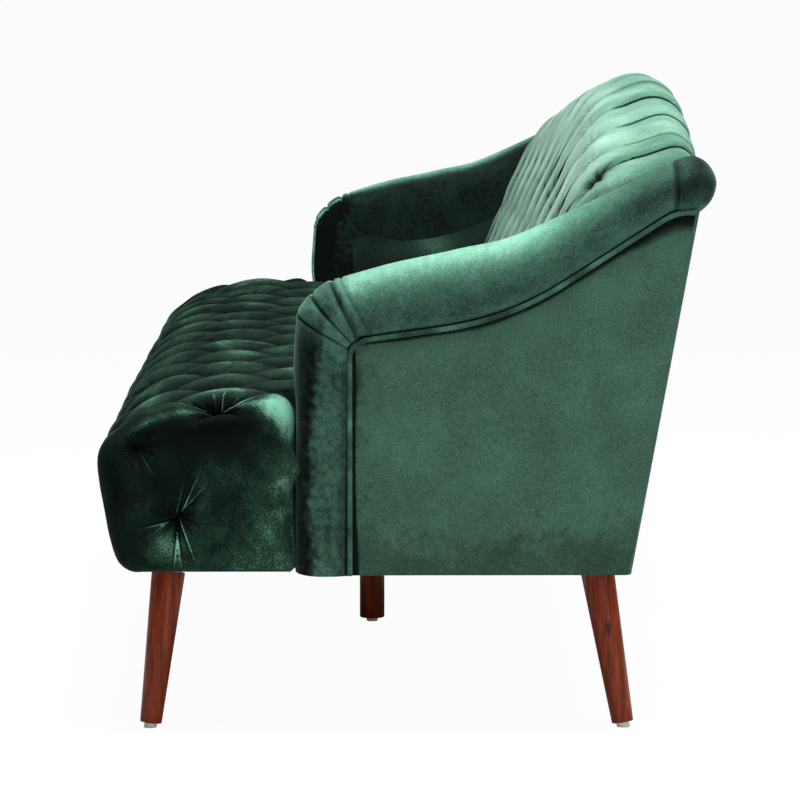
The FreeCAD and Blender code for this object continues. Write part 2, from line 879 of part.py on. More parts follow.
def make_dust_cover():
    half = side_rail_outer - cambric_inset
    front = front_rail_y + cambric_inset
    rear = rear_rail_y + rail_thickness - cambric_inset
    return box(-half, half, front, rear, cambric_bottom, rail_bottom).cut(leg_holes())


def leg_lines():
    """Top centre and foot centre of each left leg, and of the centre leg."""
    lines = []
    for y, splay in ((front_leg_y, front_leg_splay), (rear_leg_y, rear_leg_splay)):
        top = vec(leg_top_x, y, leg_top_height)
        foot = vec(leg_top_x + leg_splay_x, y + splay, leg_foot_height)
        lines.append((top, foot))
    centre = (vec(0, centre_leg_y, leg_top_height), vec(0, centre_leg_y, leg_foot_height))
    return lines, centre


def along_leg(ends):
    top, foot = ends
    return (foot - top).normalize()


def bored(leg, ends):
    """The leg with its hole for the bolt."""
    radius = leg_bolt_diameter / 2 + hole_clear
    bore = Part.makeCylinder(radius, leg_bolt_in_leg + 1, ends[0], along_leg(ends))
    return leg.cut(bore)


def make_leg(place):
    sides, centre = leg_lines()
    top, foot = sides[place]
    radii = (leg_top_diameter / 2, leg_foot_diameter / 2)
    cone = Part.makeCone(*radii, (foot - top).Length, top, along_leg((top, foot)))
    return bored(cone, (top, foot))


def make_centre_leg():
    sides, centre = leg_lines()
    top, foot = centre
    post = Part.makeCylinder(centre_leg_diameter / 2, (foot - top).Length, top, along_leg(centre))
    return bored(post, centre)


def with_mirrors(make):
    """One solid per leg: the left ones, their mirror images and the centre one."""
    sides, centre = leg_lines()
    solids = []
    for ends in sides:
        solid = make(ends)
        solids += [solid, mirrored(solid)]
    return solids + [make(centre)]


def glide(ends):
    top, foot = ends
    axis = along_leg(ends)
    reach = leg_foot_height + leg_foot_diameter
    pad = Part.makeCylinder(glide_diameter / 2, reach, foot, axis)
    half = overall_length
    return pad.cut(box(-half, half, -half, half, -half, 0))


def bolt_start(ends):
    top, foot = ends
    axis = along_leg(ends)
    rise = (rail_bottom + leg_bolt_in_block - top.z) / -axis.z
    return top - axis * rise, rise


def leg_bolt(ends):
    start, rise = bolt_start(ends)
    return Part.makeCylinder(leg_bolt_diameter / 2, rise + leg_bolt_in_leg, start, along_leg(ends))


def bolt_hole(ends):
    start, rise = bolt_start(ends)
    radius = leg_bolt_diameter / 2 + hole_clear
    return Part.makeCylinder(radius, rise + leg_bolt_in_leg, start, along_leg(ends))


def screw_points(ends):
    top, foot = ends
    reach = plate_side / 2 - screw_inset
    return [vec(top.x + i * reach, top.y + j * reach, plate_bottom) for i in (-1, 1) for j in (-1, 1)]


def leg_plate(ends):
    """A steel plate with a boss that leans with the leg."""
    top, foot = ends
    axis = along_leg(ends)
    half = plate_side / 2
    plate = box(top.x - half, top.x + half, top.y - half, top.y + half, plate_bottom, cambric_bottom)
    rise = 2 * (plate_bottom - top.z)
    boss = Part.makeCylinder(boss_diameter / 2, rise, top, axis * -1)
    above = box(top.x - plate_side, top.x + plate_side, top.y - plate_side, top.y + plate_side,
                plate_bottom, overall_depth)
    plate = plate.fuse(boss.cut(above))
    holes = [bolt_hole(ends)]
    radius = screw_diameter / 2 + hole_clear
    for point in screw_points(ends):
        holes.append(Part.makeCylinder(radius, 2 * plate_thickness, point - vec(0, 0, 1)))
    return plate.cut(holes)


def plate_screw(point):
    shank = Part.makeCylinder(screw_diameter / 2, screw_length, point)
    head = Part.makeCone(screw_head_diameter / 2 * 0.6, screw_head_diameter / 2, screw_head_height,
                         point - vec(0, 0, screw_head_height))
    return shank.fuse(head)


def all_screw_points():
    sides, centre = leg_lines()
    points = []
    for ends in sides:
        for point in screw_points(ends):
            points += [point, vec(-point.x, point.y, point.z)]
    return points + screw_points(centre)


def leg_holes():
    """Room for the leg bolts and plate screws in the timber and cloth above the plates."""
    radius = screw_diameter / 2 + hole_clear
    holes = with_mirrors(bolt_hole)
    for point in all_screw_points():
        holes.append(Part.makeCylinder(radius, screw_length + 1, point))
    return holes


def make_leg_plates():
    return Part.makeCompound(with_mirrors(leg_plate))


def make_leg_bolts():
    return Part.makeCompound(with_mirrors(leg_bolt))


def make_plate_screws():
    return Part.makeCompound([plate_screw(point) for point in all_screw_points()])


def make_leg_glides():
    return Part.makeCompound(with_mirrors(glide))


single_nodes = {
    "seat_front_rail": make_seat_front_rail,
    "seat_rear_rail": make_seat_rear_rail,
    "seat_centre_rail": make_seat_centre_rail,
    "corner_blocks": make_corner_blocks,
    "back_top_rail": make_back_top_rail,
    "back_lower_rail": make_back_lower_rail,
    "back_uprights": make_back_uprights,
    "frame_bolts": make_frame_bolts,
    "seat_springs": make_seat_springs,
    "spring_clips": make_spring_clips,
    "seat_felt": make_seat_felt,
    "seat_foam": make_seat_foam,
    "seat_twine": make_seat_twine,
    "seat_pad": make_seat_pad,
    "back_webbing": make_back_webbing,
    "back_foam": make_back_foam,
    "back_twine": make_back_twine,
    "back_pad": make_back_pad,
    "back_outside_panel": make_back_outside_panel,
    "dust_cover": make_dust_cover,
    "centre_leg": make_centre_leg,
    "leg_plates": make_leg_plates,
    "leg_bolts": make_leg_bolts,
    "plate_screws": make_plate_screws,
    "leg_glides": make_leg_glides,
}

paired_nodes = {
    "seat_side_rail": make_seat_side_rail,
    "arm_post": make_arm_post,
    "arm_top_rail": make_arm_top_rail,
    "back_post": make_back_post,
    "arm_roll": make_arm_roll,
    "arm_inside_pad": make_arm_inside_pad,
    "arm_outside_panel": make_arm_outside_panel,
    "arm_welt": make_arm_welt,
    "arm_front_welt": make_arm_front_welt,
    "back_end_cap": make_back_end_cap,
    "front_leg": lambda: make_leg(0),
    "rear_leg": lambda: make_leg(1),
}

os.makedirs("parts", exist_ok=True)
for name, make in single_nodes.items():
    make().exportStep("parts/" + name + ".step")
for name, make in paired_nodes.items():
    left = make()
    left.exportStep("parts/" + name + "_left.step")
    mirrored(left).exportStep("parts/" + name + "_right.step")
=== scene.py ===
import bpy
from math import atan2, ceil, copysign, cos, dist, exp, floor, hypot, pi, radians, sin, sqrt, tan
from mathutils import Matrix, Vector, noise


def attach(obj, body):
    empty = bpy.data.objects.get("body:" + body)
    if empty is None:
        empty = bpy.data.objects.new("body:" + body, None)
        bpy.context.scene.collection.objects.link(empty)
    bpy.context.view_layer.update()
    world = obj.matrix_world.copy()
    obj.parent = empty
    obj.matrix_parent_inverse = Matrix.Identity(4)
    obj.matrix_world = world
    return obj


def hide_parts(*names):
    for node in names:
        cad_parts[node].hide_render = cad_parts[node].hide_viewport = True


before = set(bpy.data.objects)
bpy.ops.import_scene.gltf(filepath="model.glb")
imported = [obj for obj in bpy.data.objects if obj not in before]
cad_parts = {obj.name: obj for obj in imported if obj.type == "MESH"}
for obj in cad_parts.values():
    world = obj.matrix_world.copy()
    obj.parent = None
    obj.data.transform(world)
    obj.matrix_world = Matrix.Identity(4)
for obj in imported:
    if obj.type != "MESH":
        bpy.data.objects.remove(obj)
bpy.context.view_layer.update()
mm = 0.001
underside = 219  # height of the covers' lower edges, in millimetres


# sRGB hex to the linear colour that a shader socket takes
def hexColour(code):
    parts = [int(code[k:k + 2], 16) / 255 for k in (0, 2, 4)]
    return tuple(c / 12.92 if c < 0.04045 else ((c + 0.055) / 1.055) ** 2.4 for c in parts) + (1,)


# Adds a node: another node's output is linked to the socket, any other value is set
def addNode(tree, kind, settings=None):
    node = tree.nodes.new("ShaderNode" + kind)
    for key, value in (settings or {}).items():
        if isinstance(value, bpy.types.NodeSocket):
            tree.links.new(value, node.inputs[key])
        elif isinstance(key, int) or key in node.inputs:
            node.inputs[key].default_value = value
        else:
            setattr(node, key, value)
    return node


def addMath(tree, operation, *values):
    return addNode(tree, "Math", {"operation": operation, **dict(enumerate(values))}).outputs["Value"]


def addVectorMath(tree, operation, *values):
    return addNode(tree, "VectorMath", {"operation": operation, **dict(enumerate(values))}).outputs


def addStep(tree, value, low, high, start=0, end=1):
    return addNode(tree, "MapRange", {
        "interpolation_type": "SMOOTHSTEP", "Value": value, "From Min": low, "From Max": high,
        "To Min": start, "To Max": end}).outputs["Result"]


def addGrain(tree, place, sizeMm, detail, roughness, distortion=0):
    return addNode(tree, "TexNoise", {
        "Vector": place, "Scale": 1000 / sizeMm, "Detail": detail, "Roughness": roughness,
        "Distortion": distortion}).outputs["Fac"]


def addMix(tree, share, colour, code):
    mix = addNode(tree, "Mix", {"data_type": "RGBA", "Factor": share, 6: colour, 7: hexColour(code)})
    return mix.outputs[2]


def readPaint(tree, name):
    return addNode(tree, "Attribute", {"attribute_name": name}).outputs["Fac"]


def newMaterial(name, shaderSettings):
    material = bpy.data.materials.new(name)
    material.use_nodes = True
    tree = material.node_tree
    shader = tree.nodes["Principled BSDF"]
    for key, value in shaderSettings.items():
        shader.inputs[key].default_value = value
    place = addNode(tree, "TexCoord")
    return material, tree, shader, place.outputs["Object"]


def feedShader(tree, shader, colour, bump):
    tree.links.new(colour, shader.inputs["Base Color"])
    tree.links.new(bump.outputs["Normal"], shader.inputs["Normal"])


def colourSteps(tree, factor, steps):
    ramp = addNode(tree, "ValToRGB", {"Fac": factor})
    spots = ramp.color_ramp.elements
    spots[0].position, spots[0].color = steps[0][0], hexColour(steps[0][1])
    spots[1].position, spots[1].color = steps[-1][0], hexColour(steps[-1][1])
    for position, code in steps[1:-1]:
        spot = spots.new(position)
        spot.color = hexColour(code)
    return ramp.outputs["Color"]


# Velvet: a short cut pile on a woven ground. The pile lies in patches, so one bolt shows
# several greens, and its tips catch light at a glancing view.
def makeVelvet(name, look):
    material, tree, shader, place = newMaterial(name, {
        "Roughness": 0.92, "IOR": 1.45, "Specular IOR Level": 0.06,
        "Sheen Weight": look["sheen"], "Sheen Roughness": look["sheenSpread"],
        "Sheen Tint": hexColour(look["sheenColour"]),
    })
    patch = addGrain(tree, place, look["layMm"], 5, 0.6, 0.5)  # patches of brushed pile
    grain = addGrain(tree, place, 2.4, 2, 0.7)  # pile tips, drawn coarser than the real 0.3 mm to show
    patches = addMath(tree, "MULTIPLY_ADD", patch, look["patch"], 0.5 - 0.5 * look["patch"])
    grains = addMath(tree, "MULTIPLY_ADD", grain, look["grain"], -0.5 * look["grain"])
    # single creases: gap is the signed way to the nearest one in millimetres; each crease is painted shade,
    # with a painted highlight as its lip on one side
    gap, pull = readPaint(tree, "gap"), readPaint(tree, "pull")
    slit = addStep(tree, addMath(tree, "ABSOLUTE", gap), 0.3, 1.9, 1, 0)
    lip = addMath(tree, "MULTIPLY", addStep(tree, gap, 0.6, 2), addStep(tree, gap, 2, 4.5, 0.45, 0))
    # painted light and shade from the vertices, plus each lip's painted highlight
    paintedLightPart = addMath(tree, "MULTIPLY_ADD", lip, pull, readPaint(tree, "layAndPaintedLight"))
    layAndPaintedLight = addMath(tree, "ADD", addMath(tree, "ADD", patches, grains), paintedLightPart)
    greens = colourSteps(tree, layAndPaintedLight, look["greens"])
    # pleats lie where a lattice number of the tufting is whole; its force says how hard the pleat is pulled,
    # and so how dark its painted shade is
    marks = []
    for key, force in (("p", "forceP"), ("q", "forceQ")):
        near = addMath(tree, "PINGPONG", readPaint(tree, key), 0.5)
        line = addStep(tree, near, 0.006, look["pleatWidth"], 1, 0)
        marks.append(addMath(tree, "MULTIPLY", line, readPaint(tree, force)))
    # fine gathers run in toward each stitch and are painted as lines of shade; aim is the way from the
    # stitch in millimetres
    aimX, aimY = readPaint(tree, "aimX"), readPaint(tree, "aimY")
    bearing = addMath(tree, "ARCTAN2", aimY, aimX)
    waver = addMath(tree, "MULTIPLY_ADD", patch, 9, bearing)
    spokes = addMath(tree, "MULTIPLY_ADD", bearing, 11, waver)
    thin = addStep(tree, addMath(tree, "SINE", spokes), 0.45, 1)
    aim = addNode(tree, "CombineXYZ", {"X": aimX, "Y": aimY}).outputs["Vector"]
    close = addStep(tree, addVectorMath(tree, "LENGTH", aim)["Value"], 9, 42, look["gathers"], 0)
    drawn = addMath(tree, "MULTIPLY", close, readPaint(tree, "drawn"))
    marks.append(addMath(tree, "MULTIPLY", thin, drawn))
    pleat = addMath(tree, "MULTIPLY", slit, pull)
    for mark in marks:
        pleat = addMath(tree, "MAXIMUM", pleat, mark)
    # painted shade: folds, pleats, creases and gathers darken the green toward the fold colour
    shade = addMath(tree, "MAXIMUM", readPaint(tree, "foldShade"), pleat)
    shade.node.use_clamp = True
    colour = addMix(tree, shade, greens, look["foldShadeColour"])
    creased = addNode(tree, "Bump", {"Strength": 0.8, "Distance": 0.004, "invert": True, "Height": pleat})
    bump = addNode(tree, "Bump", {"Strength": look["bump"], "Distance": 0.0012, "Height": grain,
                                  "Normal": creased.outputs["Normal"]})
    feedShader(tree, shader, colour, bump)
    return material


# One velvet in copies of different brightness: the back's is painted lighter as a painted sheen, the seat's
# darker as painted shade
panelVelvet = makeVelvet("green velvet stretched flat", dict(
    greens=[(0, "0c1510"), (0.3, "273c32"), (0.5, "345043"), (0.7, "426454"), (1, "6c9681")],
    foldShadeColour="040906", layMm=70, patch=0.3, grain=0.7, pleatWidth=0.02, gathers=0,
    sheen=0.15, sheenSpread=0.4, sheenColour="a8cdb9", bump=0.4))
rollVelvet = makeVelvet("green velvet over padding", dict(
    greens=[(0, "050a07"), (0.3, "1c2e26"), (0.5, "335346"), (0.68, "456e5e"), (1, "78ab96")],
    foldShadeColour="030605", layMm=60, patch=0.22, grain=0.46, pleatWidth=0.02, gathers=0,
    sheen=0.2, sheenSpread=0.3, sheenColour="b3dac7", bump=0.3))
backVelvet = makeVelvet("green velvet brushed upwards", dict(
    greens=[(0, "1a3528"), (0.3, "436857"), (0.5, "638575"), (0.68, "7e9e8f"), (1, "bacfc6")],
    foldShadeColour="030a07", layMm=60, patch=0.5, grain=0.45, pleatWidth=0.02, gathers=1,
    sheen=0.08, sheenSpread=0.3, sheenColour="d4efe3", bump=0.25))
seatVelvet = makeVelvet("green velvet brushed back", dict(
    greens=[(0, "000402"), (0.3, "030b07"), (0.5, "08140f"), (0.68, "1c3428"), (1, "689f89")],
    foldShadeColour="010201", layMm=45, patch=0.5, grain=0.5, pleatWidth=0.036, gathers=0.8,
    sheen=0.1, sheenSpread=0.2, sheenColour="7fc0a2", bump=0.3))
print("velvets made")


# Stained hardwood under satin lacquer: long dark pores and slow red-brown bands along the leg
def makeLegWood():
    material, tree, shader, place = newMaterial("stained hardwood", {
        "Roughness": 0.42, "IOR": 1.45, "Specular IOR Level": 0.15,
        "Coat Weight": 0.06, "Coat Roughness": 0.22})
    along = addNode(tree, "Mapping", {"Scale": (1, 1, 0.07), "Vector": place}).outputs["Vector"]
    bands = addGrain(tree, along, 9, 5, 0.6, 0.8)
    pores = addGrain(tree, along, 1.6, 3, 0.7)
    total = addMath(tree, "ADD", bands, addMath(tree, "MULTIPLY_ADD", pores, 0.35, -0.17))
    browns = colourSteps(tree, total, [(0.25, "3c1204"), (0.45, "5c1f09"), (0.6, "742d0f"), (0.8, "8a3d16")])
    # one knot, where the near rear leg shows it
    knotAt, knotScale = (0.828, 0.274, 0.136), (1 / 0.02, 1 / 0.005, 1 / 0.014)
    fromKnot = addVectorMath(tree, "SUBTRACT", place, knotAt)["Vector"]
    scaled = addVectorMath(tree, "MULTIPLY", fromKnot, knotScale)["Vector"]
    knotEdge = addMath(tree, "MULTIPLY_ADD", bands, 1.2, addVectorMath(tree, "LENGTH", scaled)["Value"])
    knot = addStep(tree, knotEdge, 0.9, 1.7, 0.9, 0)
    bump = addNode(tree, "Bump", {"Strength": 0.12, "Distance": 0.0006, "Height": pores})
    feedShader(tree, shader, addMix(tree, knot, browns, "1c0703"), bump)
    return material


# A plain material with one grain: used where the piece is small or hidden inside
def makePlain(name, steps, grainMm, shaderSettings, bumpStrength, stretch=(1, 1, 1)):
    material, tree, shader, place = newMaterial(name, shaderSettings)
    turned = addNode(tree, "Mapping", {"Scale": stretch, "Vector": place})
    grain = addGrain(tree, turned.outputs["Vector"], grainMm, 4, 0.6)
    bump = addNode(tree, "Bump", {"Strength": bumpStrength, "Distance": 0.0008, "Height": grain})
    feedShader(tree, shader, colourSteps(tree, grain, steps), bump)
    return material


legWood = makeLegWood()
framePine = makePlain("planed pine", [(0.3, "a97b48"), (0.5, "c79a63"), (0.7, "d9b27c")], 8,
                      {"Roughness": 0.6}, 0.15, (0.06, 1, 1))  # long pale grain
zincSteel = makePlain("zinc plated steel", [(0.35, "8d8f8e"), (0.65, "b4b5b2")], 14,
                      {"Metallic": 1, "Roughness": 0.38}, 0.05)  # cloudy grey shine
nylon = makePlain("moulded nylon", [(0.3, "b9b7b1"), (0.7, "d3d1cb")], 3, {"Roughness": 0.5}, 0.08)
foamBlock = makePlain("polyurethane foam", [(0.35, "c9b269"), (0.65, "e0cd8c")], 2.5,
                      {"Roughness": 0.95}, 0.6)
woolFelt = makePlain("needled felt", [(0.3, "4b4947"), (0.7, "7b7874")], 3, {"Roughness": 0.95}, 0.6)
flaxTwine = makePlain("waxed flax twine", [(0.3, "8d7d5a"), (0.7, "b8a67f")], 1.5, {"Roughness": 0.8}, 0.5)
jute = makePlain("woven webbing", [(0.3, "4a3a22"), (0.7, "7d6740")], 3,
                 {"Roughness": 0.9}, 0.6, (1, 0.4, 1))
cambric = makePlain("black cambric", [(0.3, "0b0b0c"), (0.7, "1c1c1e")], 2.5, {"Roughness": 0.9}, 0.4)

plainNodes = {
    framePine: ["seat_front_rail", "seat_rear_rail", "seat_centre_rail", "corner_blocks", "back_top_rail",
                "back_lower_rail", "back_uprights"],
    zincSteel: ["frame_bolts", "seat_springs", "spring_clips", "leg_plates", "leg_bolts", "plate_screws"],
    nylon: ["leg_glides"],
    foamBlock: ["seat_foam", "back_foam"],
    woolFelt: ["seat_felt"],
    flaxTwine: ["seat_twine", "back_twine"],
    jute: ["back_webbing"],
}
for name in ("seat_side_rail", "arm_post", "arm_top_rail", "back_post"):
    plainNodes[framePine] += [name + "_left", name + "_right"]
for material, names in plainNodes.items():
    for name in names:
        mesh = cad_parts[name].data
        mesh.materials.clear()
        mesh.materials.append(material)
print("frame nodes dressed")


def deselectAll():
    if bpy.context.object and bpy.context.object.mode != "OBJECT":
        bpy.ops.object.mode_set(mode="OBJECT")
    bpy.ops.object.select_all(action="DESELECT")


def pick(piece):
    deselectAll()
    piece.select_set(True)
    bpy.context.view_layer.objects.active = piece


def spread(start, end, count):
    return [start + (end - start) * k / count for k in range(count + 1)]


def fadeIn(low, high, value):
    share = min(max((value - low) / (high - low), 0), 1)
    return share * share * (3 - 2 * share)


def fadeOut(low, high, value):
    return 1 - fadeIn(low, high, value)


def bell(value, width):
    return exp(-(value / width) ** 2)


def wander(x, y, size, seed):
    return noise.noise(Vector((x / size, y / size, seed)))


# A smooth path through the points, with a count of steps for each run between two of them
def throughPoints(points, perRun):
    path = []
    for k in range(len(points) - 1):
        before = points[max(k - 1, 0)]
        a, b = points[k], points[k + 1]
        after = points[min(k + 2, len(points) - 1)]
        for step in range(perRun[k]):
            t = step / perRun[k]
            run = []
            for e, f, g, h in zip(before, a, b, after):
                run.append(0.5 * (2 * f + (g - e) * t + (2 * e - 5 * f + 4 * g - h) * t * t
                                  + (3 * f - e - 3 * g + h) * t ** 3))
            path.append(tuple(run))
    return path + [tuple(points[-1])]


# The direction of a path of y, z points at one of them
def heading(path, number):
    ahead, behind = path[min(number + 1, len(path) - 1)], path[max(number - 1, 0)]
    return Vector((ahead[0] - behind[0], ahead[1] - behind[1])).normalized()


# What the velvet reads from the vertices
paintKeys = ("foldShade", "layAndPaintedLight", "p", "q", "forceP", "forceQ", "aimX", "aimY", "drawn", "gap", "pull")


# A grid primitive whose point in column i and row j is moved to placeAt(i, j), in millimetres
def gridPiece(name, columns, rows, placeAt):
    deselectAll()
    bpy.ops.mesh.primitive_grid_add(x_subdivisions=columns, y_subdivisions=rows, size=2, calc_uvs=False)
    piece = bpy.context.object
    piece.name = name
    painted = {key: [] for key in paintKeys}
    for vertex in piece.data.vertices:
        i = round((vertex.co.x + 1) / 2 * columns)
        j = round((vertex.co.y + 1) / 2 * rows)
        (x, y, z), paint = placeAt(i, j)
        vertex.co = (x * mm, y * mm, z * mm)
        if "drawn" in paint:  # gathers end before the nearest stitch changes
            paint["drawn"] *= fadeOut(38, 48, hypot(paint["aimX"], paint["aimY"]))
        for key, values in painted.items():
            values.append(paint.get(key, 0))
    for key, values in painted.items():
        if any(values):
            attribute = piece.data.attributes.new(key, "FLOAT", "POINT")
            attribute.data.foreach_set("value", values)
    weld(piece)
    return piece


# Runs mesh commands on the whole piece in edit mode, then turns its faces outward
def editMesh(piece, commands):
    pick(piece)
    bpy.ops.object.mode_set(mode="EDIT")
    bpy.ops.mesh.select_mode(type="VERT")
    bpy.ops.mesh.select_all(action="SELECT")
    for command, settings in commands:
        command(**settings)
    bpy.ops.mesh.select_all(action="SELECT")
    bpy.ops.mesh.normals_make_consistent(inside=False)
    bpy.ops.object.mode_set(mode="OBJECT")


def weld(piece):
    editMesh(piece, [(bpy.ops.mesh.remove_doubles, {"threshold": 0.02 * mm})])
    bpy.ops.object.shade_smooth()


def closeEnds(piece):
    mesh = bpy.ops.mesh
    editMesh(piece, [(mesh.select_all, {"action": "DESELECT"}), (mesh.select_non_manifold, {}),
                     (mesh.fill_holes, {"sides": 0})])


def applyModifier(piece, kind, settings):
    pick(piece)
    modifier = piece.modifiers.new(kind.lower(), kind)
    for key, value in settings.items():
        setattr(modifier, key, value)
    bpy.ops.object.modifier_apply(modifier=modifier.name)


def thicken(piece, thickness, offset):
    applyModifier(piece, "SOLIDIFY", {"thickness": thickness * mm, "offset": offset})


# A cover of even thickness, shaped by its shares u of the length and v of the height
def coverPiece(name, columns, rows, placeAt, thickness, offset):
    piece = gridPiece(name, columns, rows, lambda i, j: placeAt(i / columns, j / rows))
    thicken(piece, thickness, offset)
    return piece


def mirrorCopy(piece, name):
    pick(piece)
    bpy.ops.object.duplicate()
    twin = bpy.context.object
    twin.name = name
    for vertex in twin.data.vertices:
        vertex.co.x = -vertex.co.x
    editMesh(twin, [])
    return twin


def dress(piece, material, slotName, *nodes):
    piece.data.materials.clear()
    piece.data.materials.append(material)
    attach(piece, "root")
    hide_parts(*nodes)


# Dresses a left piece and its mirrored right twin
def dressPair(left, material, node):
    right = mirrorCopy(left, left.name.replace("Left", "Right"))
    for piece, side in ((left, "_left"), (right, "_right")):
        dress(piece, material, "green_velvet", node + side)


tufts = dict(halfPitch=75, rowSpacing=100)  # half the way between stitches in a row, and between rows


# The way from the nearest stitch, and how deep it is drawn
def nearestStitch(x, row, p, q, style):
    half, spacing = tufts["halfPitch"], tufts["rowSpacing"]
    nearest, aimX, aimY, deepness = 1e9, 0, 0, 1
    for stitchP in (floor(p), ceil(p)):
        for stitchQ in (floor(q), ceil(q)):
            stitchRow = stitchP - stitchQ
            if style["firstRow"] <= stitchRow <= style["lastRow"]:
                dx, dy = x - (stitchP + stitchQ) * half, (row - stitchRow) * spacing
                if hypot(dx, dy) < nearest:
                    nearest, aimX, aimY = hypot(dx, dy), dx, dy
                    hidden = stitchRow == style["shallowRow"] and abs(stitchP + stitchQ) * half < 700
                    deepness = 0.3 if hidden else 1
    return nearest, aimX, aimY, deepness


# Diamond tufting: how far the cover sits below its crown, and how much painted shade and painted highlight
# it gets
def tuftRelief(x, row, style):
    half, spacing = tufts["halfPitch"], tufts["rowSpacing"]
    drift = style["drift"] * wander(x, row * spacing, 160, style["seed"])
    x += drift * (1 - style["taut"] * fadeIn(1.5, 2.2, row))
    bend = style["bend"] * fadeIn(2, 2.6, row) * fadeIn(640, 700, abs(x))
    x += copysign(bend, x)
    held = min(max(row, style["firstRow"]), style["lastRow"])
    p = (x / half + held) / 2
    q = (x / half - held) / 2
    puff = (abs(sin(pi * p)) * abs(sin(pi * q))) ** style["roundness"]
    nearest, aimX, aimY, deepness = nearestStitch(x, row, p, q, style)
    draw = exp(-(nearest / style["pitReach"]) ** 1.2)
    loose = style["pleat"] * (1 - style["taut"] * fadeIn(0.75, 1.5, row))
    sink = loose + (style["depth"] * deepness - loose) * draw
    beyond = abs(row - held) > 0
    perUnit = 2 * half if beyond else 1 / hypot(0.5 / half, 0.5 / spacing)
    crease = min(abs(p - round(p)), abs(q - round(q))) * perUnit
    # knife pleats: the cover stands up to each line from within and starts low again outside it
    outer = abs(x)
    climb = (outer / half - held) / 2
    pulls, last = style["pulls"], len(style["pulls"]) - 1
    overPull = pulls[min(int(outer / half / 2), last)]
    arcPulls, lastArc = style["arcPulls"], len(style["arcPulls"]) - 1
    climbPull = arcPulls[max(min(floor(climb) + 1, lastArc), 0)]
    start = style["lastRow"] + (0 if outer > (2 * last - 1) * half else 0.35)
    over = fadeIn(start - 0.1, start + 0.3, row)
    arcs = style["arcs"] * bell(row - 1.28, 0.26)
    if beyond:
        force = pulls[min(round(outer / half / 2), last)] * over
        forces = (force, force)
    else:
        force = style["slack"] + 0.8 * deepness * bell(nearest, style["grooveNear"])
        force = min(max(force, 0.06), 1)
        lean = min(force + 1.3 * arcs * arcPulls[max(min(round(climb) + 1, lastArc), 0)], 1)
        forces = (force, lean) if x > 0 else (lean, force)
    gather = cos(9 * atan2(aimY, aimX)) * bell(nearest - 20, 14)
    groove = bell(crease, style["grooveWidth"])
    flat = (1 - 0.75 * over) * (1 - 0.8 * arcs * (1 - draw))
    level = -sink * (1 - puff) * flat - style["groove"] * force * groove * (1 - arcs)
    level += style["gather"] * gather * deepness
    level -= style["step"] * over * overPull * (1 - (outer / half / 2) % 1) ** 2
    level -= style["arcStep"] * arcs * climbPull * (1 - climb % 1) ** 1.2
    level += style["uneven"] * wander(x, row * spacing, 95, style["seed"] + 7)
    # painted shade round each stitch, and a painted highlight on the puffs' tops with painted shade between
    # them
    core = bell(nearest, style["core"])
    paint = {"foldShade": (0.25 * draw + 0.75 * core) * deepness, "layAndPaintedLight": style["puffHighlight"] * (puff - 0.6),
             "p": p, "q": q, "forceP": forces[0], "forceQ": forces[1],
             "aimX": aimX, "aimY": aimY, "drawn": deepness}
    return level, paint


# The seat: a tufted pad whose nose rolls over the front, with a wide tongue ahead of the arms
seat = dict(
    top=460, rear=117.6, tongueRear=-143.4, tongueRound=34, half=905,
    innerHalf=797, railHalf=851, railFront=-345.5, thickness=42, lip=12, rowStart=-246,
    endRound=40, endHem=12, endCrown=6, hem=6, bulge=16,
    spine=(-300, -200, 335),  # the end's rim turns in toward this line: y, y, z
    endMiddle=(-245, 338),
    nose=[(-345.5, 219), (-361, 220), (-378, 233), (-388.5, 262), (-396, 302), (-402.5, 340),
          (-404, 372), (-393, 404), (-367, 430), (-333, 447.5), (-297, 457), (-262, 460)],
    noseSteps=(3, 6, 6, 8, 8, 7, 8, 9, 9, 9, 8),
    lining=[(-271, 418), (-305, 411), (-333, 392), (-352, 364), (-359, 330),
            (-359, 310), (-359, 290), (-359, 260)],
)
seatTufts = dict(
    drift=6, seed=3, firstRow=-3, lastRow=3, roundness=0.45, depth=32, pleat=14,
    pitReach=24, groove=3.5, grooveWidth=4.6, grooveNear=60, gather=2.4, uneven=3.5,
    taut=0, slack=0.7, puffHighlight=0.36, step=0, arcStep=0, arcs=0, pulls=[0.5],
    arcPulls=[0], shallowRow=9, core=10, bend=0,
)
lowStitch, highStitch = (-298, 294), (-352, 386)  # y, z
endPits = [(*highStitch, 24, 17), (*lowStitch, 27, 17)]  # y, z, depth, reach
endCreases = [  # from, to, pull; a minus turns its light lip round
    (highStitch, lowStitch, 0.5),
    (lowStitch, (-256, 340), 0.7), (lowStitch, (-268, 362), -1), (lowStitch, (-284, 352), 0.8),
    (lowStitch, (-350, 282), 1), (lowStitch, (-338, 266), -0.5), (lowStitch, (-305, 224), 1),
    (lowStitch, (-290, 224), -1), (lowStitch, (-275, 232), 0.9), (highStitch, (-350, 418), 0.7),
    (highStitch, (-366, 416), -0.8), (highStitch, (-380, 402), 0.8), (highStitch, (-390, 384), -1),
]
rimCreases = [  # the same, from round the stitch on the rim
    ((-4, 10), (-28, 60), 0.9), ((-6, 12), (-44, 40), -0.7), ((-3, 4), (-52, 9), 1),
    ((-4, 0), (-46, 0), -0.5), ((-3, -4), (-54, -8), 1), ((-6, -12), (-42, -40), -0.7),
    ((-4, -10), (-24, -66), 0.9),
]
endPaintedLight = [  # painted light and shade in patches: y, z, width, height, how much lighter (minus is darker)
    (-265, 398, 75, 26, -0.30), (-166, 424, 24, 24, 0.14), (-158, 380, 12, 50, 0.08),
    (-150, 290, 26, 80, 0.06), (-316, 262, 22, 20, 0.22), (-225, 250, 60, 30, 0.06),
    (-392, 330, 22, 90, -0.25), (-325, 330, 22, 36, -0.16), (-168, 300, 40, 90, 0.13),
    (-235, 236, 80, 26, 0.12),
]


